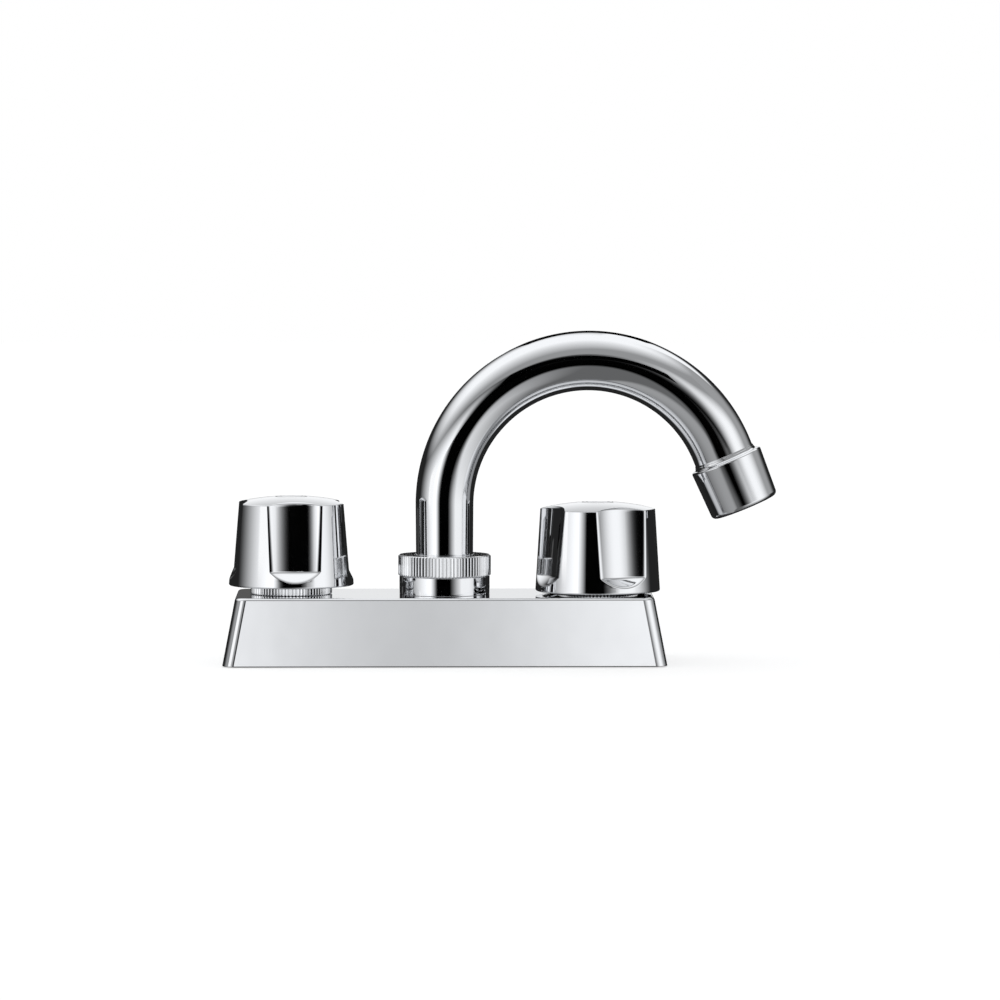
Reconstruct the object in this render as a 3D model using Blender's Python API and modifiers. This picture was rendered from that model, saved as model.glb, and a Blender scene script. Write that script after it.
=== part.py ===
"""Basin mixer tap: a box-shaped body with two rising-spindle valves and a swivelling arched spout.

Metres, +Z up. The origin is on the spout's axis, at the counter. +X points the way the
spout points at rest, and both valves stand on the X axis. The left valve is one turn open.
"""

import math

import bmesh
import bpy
from mathutils import Matrix, Vector

MM = 0.001
GAP = 0.3 * MM

# Body cover: a shell with sloping sides, open below.
VALVE_SPACING = 101.6 * MM
BODY_HEIGHT = 22.5 * MM
BODY_OVERHANG = 18.1 * MM
BODY_SPLAY = 4.25 * MM
BODY_TOP_WIDTH = VALVE_SPACING + 2.0 * BODY_OVERHANG
BODY_BOTTOM_WIDTH = BODY_TOP_WIDTH + 2.0 * BODY_SPLAY
BODY_TOP_DEPTH = 44.0 * MM
BODY_BOTTOM_DEPTH = 53.0 * MM
BODY_CORNER = 4.0 * MM
BODY_EDGE = 0.5 * MM
BODY_WALL = 2.0 * MM
GASKET_THICKNESS = 2.0 * MM

# Brass waterway below the cover.
BARREL_RADIUS = 11.0 * MM
BARREL_TOP = BODY_HEIGHT + 3.0 * MM
BARREL_BORE = 8.6 * MM
INLET_RADIUS = 7.5 * MM
SEAT_RADIUS = 5.6 * MM
SEAT_HOLE = 4.2 * MM
SEAT_RIM = 1.0 * MM
CROSS_HEIGHT = BODY_HEIGHT - 8.5 * MM
SEAT_TOP = CROSS_HEIGHT - 4.4 * MM
INLET_TOP = SEAT_TOP - 2.6 * MM
CROSS_RADIUS = 5.9 * MM
CROSS_BORE = 3.9 * MM
CLAMP_FLANGE = 3.0 * MM
CLAMP_THICKNESS = 1.7 * MM
NECK_RADIUS = 13.0 * MM
NECK_TOP = BODY_HEIGHT + 8.5 * MM
NECK_BORE = 9.8 * MM
NECK_FLOOR = CROSS_HEIGHT - 4.8 * MM
NECK_WELL = 8.0 * MM

# Spout boss ring and knurled nut.
BOSS_RADIUS = 14.95 * MM
BOSS_TOP = BODY_HEIGHT + 6.1 * MM
NUT_CREST = 15.35 * MM
NUT_HEIGHT = 6.6 * MM
NUT_WEB = 2.1 * MM
NUT_FLUTES = 80
NUT_BEVEL = 0.5 * MM
KNURL_DEPTH = 0.35 * MM

# Spout tube: straight leg, arch, short straight end. It widens a little along the arch.
TUBE_RADIUS = 9.45 * MM
TUBE_END_RADIUS = 10.1 * MM
TUBE_LEG_SWELL = 0.2
TUBE_WALL = 1.0 * MM
ARCH_RADIUS = 47.7 * MM
ARCH_HEIGHT = 52.05 * MM
ARCH_END_ANGLE = math.radians(22.5)
ARCH_STEPS = 16
HOUSING_OFFSET = 3.7 * MM

# Ferrule brazed into the tube's lower end.
FERRULE_BOTTOM = NECK_TOP - 9.0 * MM
FERRULE_BORE = 6.5 * MM
FERRULE_PLUG = 8.0 * MM
FERRULE_PLUG_TOP = NECK_TOP + 11.0 * MM
FERRULE_SHOULDER = NECK_TOP + 3.4 * MM
SNAP_FLOOR = 8.8 * MM
SNAP_OUTER = 12.7 * MM
SNAP_THICKNESS = 1.8 * MM
SNAP_SPLIT = 5.0 * MM
RING_GROOVE_FLOOR = 7.9 * MM
RING_GROOVE_HEIGHT = 2.2 * MM
RING_HEIGHTS = (FERRULE_BOTTOM + 3.3 * MM, FERRULE_BOTTOM + 6.5 * MM)

# Outlet housing, on an axis that leans out by the arch's end angle.
HOUSING_TOP_RADIUS = 12.2 * MM
HOUSING_BOTTOM_RADIUS = 11.55 * MM
HOUSING_LENGTH = 17.0 * MM
HOUSING_COLLAR = 1.4 * MM
HOUSING_SOCKET = 4.0 * MM
HOUSING_LEDGE = 1.5 * MM
HOUSING_LEDGE_BORE = 7.5 * MM
HOUSING_BORE = 9.9 * MM
AERATOR_WASHER_THICKNESS = 1.6 * MM
AERATOR_BASE = 2.0 * MM

# Valve bonnet, screwed into the barrel.
BONNET_RADIUS = 8.3 * MM
BONNET_TIP = SEAT_TOP + 5.2 * MM
BONNET_TIP_RADIUS = 7.2 * MM
BONNET_TOP = BODY_HEIGHT + 9.0 * MM
BONNET_GLAND = 6.5 * MM
BONNET_BORE = 4.5 * MM
BONNET_THREAD = 6.1 * MM
BONNET_THREAD_TOP = BODY_HEIGHT + 0.5 * MM
HEX_ACROSS_FLATS = 17.0 * MM
HEX_HEIGHT = 3.2 * MM
LOCK_CREST = 13.5 * MM
LOCK_HEIGHT = 4.4 * MM
LOCK_FLUTES = 72

# Rising spindle, at the height where its valve is shut.
SPINDLE_FOOT = SEAT_TOP + 4.3 * MM
SPINDLE_THREAD = 5.8 * MM
SPINDLE_THREAD_TOP = SPINDLE_FOOT + 4.6 * MM
SPINDLE_STEM = 4.2 * MM
SPINDLE_STEM_TOP = BODY_HEIGHT + 9.5 * MM
SPINDLE_SPLINES = 20
SPLINE_CREST = 3.9 * MM
SPLINE_ROOT = 3.45 * MM
STEM_RING_HEIGHT = BODY_HEIGHT + 2.7 * MM
STEM_GROOVE_FLOOR = 3.0 * MM
STEM_GROOVE_HEIGHT = 1.7 * MM
WASHER_RADIUS = 5.4 * MM
WASHER_THICKNESS = 2.2 * MM
JUMPER_THICKNESS = 1.2 * MM
JUMPER_STEM = 2.6 * MM
JUMPER_STEM_LENGTH = 5.0 * MM

# Knob: a tapered cup with a crowned top and four scoops.
KNOB_BASE = BODY_HEIGHT + 0.9 * MM
KNOB_EDGE_HEIGHT = 27.3 * MM
KNOB_TOP_RADIUS = 19.05 * MM
KNOB_BOTTOM_RADIUS = 20.7 * MM
KNOB_CROWN = 2.3 * MM
KNOB_EDGE = 0.5 * MM
KNOB_SKIRT_RADIUS = 18.3 * MM
KNOB_RING_ROOM = 14.3 * MM
KNOB_RING_ROOM_TOP = 5.2 * MM
KNOB_CAVITY = 12.0 * MM
KNOB_CAVITY_TOP = KNOB_EDGE_HEIGHT - 12.0 * MM
KNOB_HUB = 7.0 * MM
KNOB_HUB_FOOT = 9.0 * MM
KNOB_SOCKET = 4.2 * MM
BUTTON_RADIUS = 5.0 * MM
BUTTON_FLOOR = KNOB_EDGE_HEIGHT + 0.7 * MM
SCREW_HEAD = 3.6 * MM
SCREW_SHANK = 1.9 * MM
SCREW_SEAT = BUTTON_FLOOR - 4.0 * MM
SCREW_LENGTH = 11.6 * MM
KNOB_SOCKET_TOP = SCREW_SEAT - 3.7 * MM
SPINDLE_TOP = KNOB_BASE + KNOB_SOCKET_TOP - GAP
SCOOPS = 4
SCOOP_RADIUS = 20.0 * MM
SCOOP_AXIS_TOP = 34.8 * MM
SCOOP_TILT = 0.102
SCOOP_FOOT = 5.3 * MM
SCOOP_NOSE = 25.5 * MM

LEFT_RISE = 2.0 * MM
RIGHT_RISE = 0.0
LEFT_TURN = math.radians(5.3)
RIGHT_TURN = math.radians(25.3)

ROUND_STEPS = 32
INNER_STEPS = 20
SMALL_STEPS = 16

COLOURS = {
    "chrome": ((0.80, 0.81, 0.83, 1.0), 0.06, 1.0),
    "brass": ((0.62, 0.47, 0.22, 1.0), 0.30, 1.0),
    "steel": ((0.56, 0.57, 0.58, 1.0), 0.28, 1.0),
    "rubber": ((0.02, 0.02, 0.022, 1.0), 0.75, 0.0),
    "index_chrome": ((0.70, 0.71, 0.73, 1.0), 0.16, 1.0),
    "insert_plastic": ((0.55, 0.56, 0.57, 1.0), 0.45, 0.0),
}


def clear_scene():
    for obj in list(bpy.data.objects):
        bpy.data.objects.remove(obj, do_unlink=True)


def new_collection(name):
    collection = bpy.data.collections.new(name)
    bpy.context.scene.collection.children.link(collection)
    return collection


clear_scene()
PARTS = new_collection("basin_mixer_tap")
CUTTERS = new_collection("cutters")


def give_material(obj, finish):
    """Each piece gets a material of its own, named after it."""
    colour, roughness, metallic = COLOURS[finish]
    material = bpy.data.materials.new(obj.name + "_" + finish)
    material.use_nodes = True
    shader = material.node_tree.nodes["Principled BSDF"]
    shader.inputs["Base Color"].default_value = colour
    shader.inputs["Roughness"].default_value = roughness
    shader.inputs["Metallic"].default_value = metallic
    material.diffuse_color = colour
    obj.data.materials.clear()
    obj.data.materials.append(material)


def add_object(name, mesh, finish, at=(0.0, 0.0, 0.0), turn=None):
    """A piece when it has a finish, otherwise a cutter."""
    obj = bpy.data.objects.new(name, mesh)
    obj.location = at
    if turn is not None:
        obj.rotation_euler = turn
    if finish is None:
        CUTTERS.objects.link(obj)
        obj.hide_render = True
        obj.display_type = "WIRE"
    else:
        PARTS.objects.link(obj)
        give_material(obj, finish)
    return obj


def freeze(obj, sharp_angle=35.0):
    """Makes the modifiers' result the piece's mesh, faces out, and shades it."""
    finish = list(obj.data.materials)
    bpy.context.view_layer.update()
    graph = bpy.context.evaluated_depsgraph_get()
    mesh = bpy.data.meshes.new_from_object(obj.evaluated_get(graph))
    obj.modifiers.clear()
    obj.data = mesh
    shape = bmesh.new()
    shape.from_mesh(mesh)
    bmesh.ops.remove_doubles(shape, verts=shape.verts, dist=1e-6)
    bmesh.ops.recalc_face_normals(shape, faces=shape.faces)
    shape.to_mesh(mesh)
    shape.free()
    mesh.materials.clear()
    for material in finish:
        mesh.materials.append(material)
    mesh.shade_smooth()
    mesh.set_sharp_from_angle(angle=math.radians(sharp_angle))
    return obj


def turned(name, profile, steps, finish, at=(0.0, 0.0, 0.0), turn=None):
    """A lathe-turned piece. The profile runs down its outer side, and closes unless it ends on the axis."""
    points = [(radius, 0.0, height) for radius, height in profile]
    edges = [(i, i + 1) for i in range(len(points) - 1)]
    if profile[0][0] > 0.0:
        edges.append((len(points) - 1, 0))
    mesh = bpy.data.meshes.new(name)
    mesh.from_pydata(points, edges, [])
    obj = add_object(name, mesh, finish, at, turn)
    screw = obj.modifiers.new("Turn", "SCREW")
    screw.axis = "Z"
    screw.angle = math.tau
    screw.steps = steps
    screw.render_steps = steps
    screw.use_merge_vertices = True
    screw.merge_threshold = 1e-6
    return freeze(obj)


def ring(name, outer, inner, bottom, top, steps, finish, at=(0.0, 0.0, 0.0), turn=None):
    profile = [(outer, top), (outer, bottom), (inner, bottom), (inner, top)]
    return turned(name, profile, steps, finish, at, turn)


def rod(name, radius, bottom, top, steps, finish, at=(0.0, 0.0, 0.0), turn=None):
    profile = [(0.0, top), (radius, top), (radius, bottom), (0.0, bottom)]
    return turned(name, profile, steps, finish, at, turn)


def o_ring(name, centre_radius, section, height, finish, at):
    """A ring with a round section of six sides."""
    sides = 6
    profile = []
    for i in range(sides):
        angle = math.tau * (i + 0.5) / sides
        profile.append((centre_radius + section * math.sin(angle), height + section * math.cos(angle)))
    return turned(name, profile, SMALL_STEPS, finish, at)


def lofted(name, rings, finish, at=(0.0, 0.0, 0.0), turn=None):
    """A closed piece through rings of points of equal count, listed from the bottom up."""
    shape = bmesh.new()
    layers = [[shape.verts.new(point) for point in level] for level in rings]
    count = len(layers[0])
    shape.faces.new(list(reversed(layers[0])))
    shape.faces.new(layers[-1])
    for below, above in zip(layers, layers[1:]):
        for i in range(count):
            j = (i + 1) % count
            shape.faces.new((below[i], below[j], above[j], above[i]))
    bmesh.ops.recalc_face_normals(shape, faces=shape.faces)
    mesh = bpy.data.meshes.new(name)
    shape.to_mesh(mesh)
    shape.free()
    return add_object(name, mesh, finish, at, turn)


def rounded_rectangle(width, depth, corner, height, steps=5):
    """Points round a rectangle with round corners, at one height."""
    points = []
    for quarter in range(4):
        start = quarter * math.pi / 2.0
        sign_x = 1.0 if quarter in (0, 3) else -1.0
        sign_y = 1.0 if quarter in (0, 1) else -1.0
        centre_x = sign_x * (width / 2.0 - corner)
        centre_y = sign_y * (depth / 2.0 - corner)
        for i in range(steps + 1):
            angle = start + i * math.pi / 2.0 / steps
            points.append((centre_x + corner * math.cos(angle), centre_y + corner * math.sin(angle), height))
    return points


def star(crest, valley, count, height):
    """Points round a straight knurl or spline, two to each flute."""
    points = []
    for i in range(2 * count):
        radius = crest if i % 2 == 0 else valley
        angle = math.pi * i / count
        points.append((radius * math.cos(angle), radius * math.sin(angle), height))
    return points


def boolean(body, tool, operation):
    """Each cut or union is applied at once, so that the next one starts from a clean closed mesh."""
    modifier = body.modifiers.new(tool.name, "BOOLEAN")
    modifier.operation = operation
    modifier.solver = "EXACT"
    modifier.object = tool
    freeze(body)


def body_width(height):
    share = height / BODY_HEIGHT
    return BODY_BOTTOM_WIDTH + share * (BODY_TOP_WIDTH - BODY_BOTTOM_WIDTH)


def body_depth(height):
    share = height / BODY_HEIGHT
    return BODY_BOTTOM_DEPTH + share * (BODY_TOP_DEPTH - BODY_BOTTOM_DEPTH)


def body_level(height, inset, corner):
    return rounded_rectangle(body_width(height) - 2 * inset, body_depth(height) - 2 * inset, corner, height)


def build_cover():
    """Shell with sloping sides and holes for both barrels and the outlet neck."""
    outer = [
        body_level(GAP, 0.0, BODY_CORNER),
        body_level(BODY_HEIGHT - BODY_EDGE, 0.0, BODY_CORNER),
        body_level(BODY_HEIGHT, BODY_EDGE, BODY_CORNER - BODY_EDGE),
    ]
    cover = lofted("cover", outer, "chrome")
    inner = [
        body_level(-5.0 * MM, BODY_WALL, BODY_CORNER - BODY_WALL),
        body_level(BODY_HEIGHT - BODY_WALL, BODY_WALL, BODY_CORNER - BODY_WALL),
    ]
    boolean(cover, lofted("cover_inside", inner, None), "DIFFERENCE")
    hole_bottom = BODY_HEIGHT - 2 * BODY_WALL
    hole_top = BODY_HEIGHT + BODY_WALL
    neck_hole = rod("cover_neck_hole", NECK_RADIUS + GAP, hole_bottom, hole_top, INNER_STEPS, None)
    boolean(cover, neck_hole, "DIFFERENCE")
    for side, x in (("left", -VALVE_SPACING / 2), ("right", VALVE_SPACING / 2)):
        hole = rod(
            "cover_" + side + "_hole", BARREL_RADIUS + GAP, hole_bottom, hole_top, INNER_STEPS, None, (x, 0.0, 0.0)
        )
        boolean(cover, hole, "DIFFERENCE")


def build_gasket():
    """Soft plate inside the cover's rim, with a hole round each inlet."""
    inset = BODY_WALL + GAP
    levels = [
        body_level(0.0, inset + 0.3 * MM, BODY_CORNER - inset),
        body_level(GASKET_THICKNESS, inset, BODY_CORNER - inset),
    ]
    gasket = lofted("base_gasket", levels, "rubber")
    for side, x in (("left", -VALVE_SPACING / 2), ("right", VALVE_SPACING / 2)):
        hole = rod(
            "gasket_" + side + "_hole",
            INLET_RADIUS + 0.5 * MM,
            -1.0 * MM,
            GASKET_THICKNESS + 1.0 * MM,
            INNER_STEPS,
            None,
            (x, 0.0, 0.0),
        )
        boolean(gasket, hole, "DIFFERENCE")


def build_waterway():
    """One brass casting: two valve barrels, a cross tube between them and the outlet neck."""
    bottom = GASKET_THICKNESS + GAP
    clamp_top = BODY_HEIGHT - BODY_WALL - GAP
    clamp_bottom = clamp_top - CLAMP_THICKNESS
    neck_profile = [
        (0.0, NECK_TOP),
        (NECK_RADIUS, NECK_TOP),
        (NECK_RADIUS, clamp_top),
        (NECK_RADIUS + CLAMP_FLANGE, clamp_top),
        (NECK_RADIUS + CLAMP_FLANGE, clamp_bottom),
        (NECK_RADIUS, clamp_bottom),
        (NECK_RADIUS, NECK_FLOOR - 2.5 * MM),
        (0.0, NECK_FLOOR - 2.5 * MM),
    ]
    waterway = turned("waterway", neck_profile, INNER_STEPS, "brass")
    half_span = VALVE_SPACING / 2
    cross = rod(
        "cross_outside",
        CROSS_RADIUS,
        -half_span,
        half_span,
        SMALL_STEPS,
        None,
        (0.0, 0.0, CROSS_HEIGHT),
        (0.0, math.pi / 2, 0.0),
    )
    boolean(waterway, cross, "UNION")
    barrel_profile = [
        (0.0, BARREL_TOP),
        (BARREL_RADIUS, BARREL_TOP),
        (BARREL_RADIUS, clamp_top),
        (BARREL_RADIUS + CLAMP_FLANGE, clamp_top),
        (BARREL_RADIUS + CLAMP_FLANGE, clamp_bottom),
        (BARREL_RADIUS, clamp_bottom),
        (BARREL_RADIUS, bottom),
        (0.0, bottom),
    ]
    chamber_profile = [
        (0.0, BARREL_TOP + 1.5 * MM),
        (BARREL_BORE, BARREL_TOP + 1.5 * MM),
        (BARREL_BORE, SEAT_TOP - SEAT_RIM),
        (SEAT_RADIUS, SEAT_TOP - SEAT_RIM),
        (SEAT_RADIUS, SEAT_TOP),
        (SEAT_HOLE, SEAT_TOP),
        (SEAT_HOLE, INLET_TOP),
        (INLET_RADIUS, INLET_TOP),
        (INLET_RADIUS, 0.0),
        (0.0, 0.0),
    ]
    sides = (("left", -half_span), ("right", half_span))
    for side, x in sides:
        barrel = turned(side + "_barrel_outside", barrel_profile, INNER_STEPS, None, (x, 0.0, 0.0))
        boolean(waterway, barrel, "UNION")
    for side, x in sides:
        chamber = turned(side + "_barrel_inside", chamber_profile, INNER_STEPS, None, (x, 0.0, 0.0))
        boolean(waterway, chamber, "DIFFERENCE")
    cross_bore = rod(
        "cross_inside",
        CROSS_BORE,
        -half_span + BARREL_BORE / 2,
        half_span - BARREL_BORE / 2,
        SMALL_STEPS,
        None,
        (0.0, 0.0, CROSS_HEIGHT),
        (0.0, math.pi / 2, 0.0),
    )
    boolean(waterway, cross_bore, "DIFFERENCE")
    well_profile = [
        (0.0, NECK_TOP + 1.5 * MM),
        (NECK_BORE, NECK_TOP + 1.5 * MM),
        (NECK_BORE, FERRULE_BOTTOM - 1.5 * MM),
        (NECK_WELL, FERRULE_BOTTOM - 2.5 * MM),
        (NECK_WELL, NECK_FLOOR),
        (0.0, NECK_FLOOR),
    ]
    boolean(waterway, turned("neck_inside", well_profile, INNER_STEPS, None), "DIFFERENCE")


def build_knurled(name, flutes, crest, bottom, top, bevel, bore_profile, at):
    """A nut with straight knurls, a turned bore and, where it shows, a small top bevel."""
    levels = [star(crest, crest - KNURL_DEPTH, flutes, bottom), star(crest, crest - KNURL_DEPTH, flutes, top - bevel)]
    if bevel > 0.0:
        levels.append(star(crest - bevel, crest - bevel - 0.1 * MM, flutes, top))
    nut = lofted(name, levels, "chrome", at)
    boolean(nut, turned(name + "_bore", bore_profile, INNER_STEPS, None, at), "DIFFERENCE")
    return freeze(nut, 20.0)


def build_spout_seat():
    """Boss ring on the body and the knurled nut that holds the spout down."""
    bottom = BODY_HEIGHT + GAP
    profile = [
        (BOSS_RADIUS - 0.2 * MM, BOSS_TOP),
        (BOSS_RADIUS, BOSS_TOP - 0.3 * MM),
        (BOSS_RADIUS, bottom),
        (NECK_RADIUS + GAP, bottom),
        (NECK_RADIUS + GAP, BOSS_TOP),
    ]
    turned("spout_boss", profile, ROUND_STEPS, "chrome")
    nut_bottom = BOSS_TOP + GAP
    nut_top = nut_bottom + NUT_HEIGHT
    bore = [
        (0.0, nut_top + 1.0 * MM),
        (TUBE_RADIUS + GAP, nut_top + 1.0 * MM),
        (TUBE_RADIUS + GAP, nut_top - NUT_WEB),
        (NECK_RADIUS + GAP, nut_top - NUT_WEB),
        (NECK_RADIUS + GAP, nut_bottom - 1.0 * MM),
        (0.0, nut_bottom - 1.0 * MM),
    ]
    build_knurled("spout_nut", NUT_FLUTES, NUT_CREST, nut_bottom, nut_top, NUT_BEVEL, bore, (0.0, 0.0, 0.0))


def arch_point(angle):
    """A point of the arch's centre line. The angle is pi where the arch starts."""
    return Vector(
        (ARCH_RADIUS + ARCH_RADIUS * math.cos(angle), 0.0, ARCH_HEIGHT + ARCH_RADIUS * math.sin(angle))
    )


def outlet_direction():
    return Vector((math.sin(ARCH_END_ANGLE), 0.0, -math.cos(ARCH_END_ANGLE)))


def spout_path(below, beyond):
    """Centre line from the tube's lower end to its outlet end, with each point's share of the swell."""
    path = [(Vector((0.0, 0.0, below)), 0.0)]
    for i in range(ARCH_STEPS + 1):
        share = i / ARCH_STEPS
        angle = math.pi - share * (math.pi - ARCH_END_ANGLE)
        path.append((arch_point(angle), TUBE_LEG_SWELL + (1.0 - TUBE_LEG_SWELL) * share))
    path.append((arch_point(ARCH_END_ANGLE) + outlet_direction() * beyond, 1.0))
    return path


def swept_tube(name, path, radius, resolution, finish):
    """A closed round bar along a path."""
    curve = bpy.data.curves.new(name, "CURVE")
    curve.dimensions = "3D"
    curve.bevel_depth = radius
    curve.bevel_resolution = resolution
    curve.use_fill_caps = True
    spline = curve.splines.new("POLY")
    spline.points.add(len(path) - 1)
    for point, (position, swell) in zip(spline.points, path):
        point.co = (position.x, position.y, position.z, 1.0)
        point.radius = 1.0 + swell * (TUBE_END_RADIUS / TUBE_RADIUS - 1.0)
    guide = bpy.data.objects.new(name + "_guide", curve)
    CUTTERS.objects.link(guide)
    bpy.context.view_layer.update()
    graph = bpy.context.evaluated_depsgraph_get()
    mesh = bpy.data.meshes.new_from_object(guide.evaluated_get(graph))
    bpy.data.objects.remove(guide, do_unlink=True)
    shape = bmesh.new()
    shape.from_mesh(mesh)
    bmesh.ops.remove_doubles(shape, verts=shape.verts, dist=1e-6)
    bmesh.ops.recalc_face_normals(shape, faces=shape.faces)
    shape.to_mesh(mesh)
    shape.free()
    return add_object(name, mesh, finish)


def build_spout():
    """Bent tube, open at both ends, and the ferrule that seats it in the neck."""
    tube_bottom = FERRULE_SHOULDER + GAP
    tube_end = HOUSING_OFFSET + HOUSING_SOCKET - GAP
    tube = swept_tube("spout_tube", spout_path(tube_bottom, tube_end), TUBE_RADIUS, 8, "chrome")
    inside_path = spout_path(tube_bottom - 1.0 * MM, tube_end + 1.0 * MM)
    inside = swept_tube("spout_inside", inside_path, TUBE_RADIUS - TUBE_WALL, 6, None)
    boolean(tube, inside, "DIFFERENCE")
    half_groove = RING_GROOVE_HEIGHT / 2
    low, high = RING_HEIGHTS
    snap_bottom = NECK_TOP
    snap_top = snap_bottom + SNAP_THICKNESS + 2 * GAP
    profile = [
        (FERRULE_PLUG, FERRULE_PLUG_TOP),
        (FERRULE_PLUG, FERRULE_SHOULDER),
        (TUBE_RADIUS, FERRULE_SHOULDER),
        (TUBE_RADIUS, snap_top),
        (SNAP_FLOOR, snap_top),
        (SNAP_FLOOR, snap_bottom),
        (TUBE_RADIUS, snap_bottom),
        (TUBE_RADIUS, high + half_groove),
        (RING_GROOVE_FLOOR, high + half_groove),
        (RING_GROOVE_FLOOR, high - half_groove),
        (TUBE_RADIUS, high - half_groove),
        (TUBE_RADIUS, low + half_groove),
        (RING_GROOVE_FLOOR, low + half_groove),
        (RING_GROOVE_FLOOR, low - half_groove),
        (TUBE_RADIUS, low - half_groove),
        (TUBE_RADIUS, FERRULE_BOTTOM),
        (FERRULE_BORE, FERRULE_BOTTOM),
        (FERRULE_BORE, FERRULE_PLUG_TOP),
    ]
    turned("spout_ferrule", profile, INNER_STEPS, "brass")
    snap = ring(
        "spout_snap_ring", SNAP_OUTER, SNAP_FLOOR + GAP, snap_bottom + GAP, snap_top - GAP, INNER_STEPS, "steel"
    )
    split = box("snap_split", (0.0, SNAP_OUTER, snap_bottom), (SNAP_SPLIT, 2 * SNAP_OUTER, 6.0 * MM))
    boolean(snap, split, "DIFFERENCE")
    middle = (RING_GROOVE_FLOOR + NECK_BORE) / 2
    section = (NECK_BORE - RING_GROOVE_FLOOR) / 2 - 0.25 * MM
    o_ring("spout_o_ring_lower", middle, section, low, "rubber", (0.0, 0.0, 0.0))
    o_ring("spout_o_ring_upper", middle, section, high, "rubber", (0.0, 0.0, 0.0))


def box(name, centre, size):
    """A box cutter."""
    half = [side / 2 for side in size]
    levels = []
    for sign in (-1.0, 1.0):
        height = centre[2] + sign * half[2]
        levels.append(
            [
                (centre[0] - half[0], centre[1] - half[1], height),
                (centre[0] + half[0], centre[1] - half[1], height),
                (centre[0] + half[0], centre[1] + half[1], height),
                (centre[0] - half[0], centre[1] + half[1], height),
            ]
        )
    return lofted(name, levels, None)


def build_outlet():
    """Housing at the spout's end, with the aerator's washer and insert inside it."""
    place = arch_point(ARCH_END_ANGLE) + outlet_direction() * HOUSING_OFFSET
    lean = (0.0, -ARCH_END_ANGLE, 0.0)
    socket_wall = TUBE_END_RADIUS + GAP
    ledge_bottom = -HOUSING_SOCKET - HOUSING_LEDGE
    profile = [
        (socket_wall + 0.25 * MM, HOUSING_COLLAR),
        (socket_wall + 0.45 * MM, 0.55 * HOUSING_COLLAR),
        (socket_wall + 1.0 * MM, 0.0),
        (HOUSING_TOP_RADIUS - 0.4 * MM, 0.0),
        (HOUSING_TOP_RADIUS, -0.4 * MM),
        (HOUSING_BOTTOM_RADIUS, -HOUSING_LENGTH + 1.6 * MM),
        (HOUSING_BOTTOM_RADIUS - 0.4 * MM, -HOUSING_LENGTH + 0.6 * MM),
        (HOUSING_BOTTOM_RADIUS - 1.2 * MM, -HOUSING_LENGTH),
        (HOUSING_BORE, -HOUSING_LENGTH),
        (HOUSING_BORE, ledge_bottom),
        (HOUSING_LEDGE_BORE, ledge_bottom),
        (HOUSING_LEDGE_BORE, -HOUSING_SOCKET),
        (socket_wall, -HOUSING_SOCKET),
        (socket_wall, HOUSING_COLLAR),
    ]
    turned("aerator_housing", profile, ROUND_STEPS, "chrome", place, lean)
    washer_top = ledge_bottom - GAP
    washer_bottom = washer_top - AERATOR_WASHER_THICKNESS
    outer = HOUSING_BORE - GAP
    ring("aerator_washer", outer, HOUSING_LEDGE_BORE, washer_bottom, washer_top, INNER_STEPS, "rubber", place, lean)
    insert_top = washer_bottom - GAP
    insert_bottom = -HOUSING_LENGTH + 0.8 * MM
    cup = [
        (outer, insert_top),
        (outer, insert_bottom),
        (0.0, insert_bottom),
        (0.0, insert_bottom + AERATOR_BASE),
        (HOUSING_LEDGE_BORE, insert_bottom + AERATOR_BASE),
        (HOUSING_LEDGE_BORE, insert_top),
    ]
    insert = turned_cup("aerator_insert", cup, INNER_STEPS, "insert_plastic", place, lean)
    holes = outlet_holes(insert_bottom, place, lean)
    boolean(insert, holes, "DIFFERENCE")


def turned_cup(name, profile, steps, finish, at, turn):
    """A turned piece whose profile meets the axis on its floor's underside and on its top."""
    start = [i for i, point in enumerate(profile) if point[0] == 0.0][1]
    opened = profile[start:] + profile[:start]
    return turned(name, opened, steps, finish, at, turn)


def outlet_holes(insert_bottom, at, turn):
    """Holes through the insert's floor: one in the middle and a ring of eight."""
    sides = 8
    radius = 1.7 * MM
    centres = [(0.0, 0.0)]
    for i in range(8):
        angle = math.tau * i / 8
        centres.append((5.1 * MM * math.cos(angle), 5.1 * MM * math.sin(angle)))
    shape = bmesh.new()
    for x, y in centres:
        matrix = Matrix.Translation((x, y, insert_bottom + AERATOR_BASE / 2))
        bmesh.ops.create_cone(
            shape,
            cap_ends=True,
            segments=sides,
            radius1=radius,
            radius2=radius,
            depth=3 * AERATOR_BASE,
            matrix=matrix,
        )
    mesh = bpy.data.meshes.new("outlet_holes")
    shape.to_mesh(mesh)
    shape.free()
    return add_object("outlet_holes", mesh, None, at, turn)


def crown_height(radius):
    """Height of the knob's crowned top over its lower edge, at this distance from its axis."""
    ball = (KNOB_TOP_RADIUS**2 + KNOB_CROWN**2) / (2 * KNOB_CROWN)
    return KNOB_EDGE_HEIGHT + KNOB_CROWN - ball + math.sqrt(ball**2 - radius**2)


def knob_side(height):
    share = height / KNOB_EDGE_HEIGHT
    return KNOB_BOTTOM_RADIUS + share * (KNOB_TOP_RADIUS - KNOB_BOTTOM_RADIUS)


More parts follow.
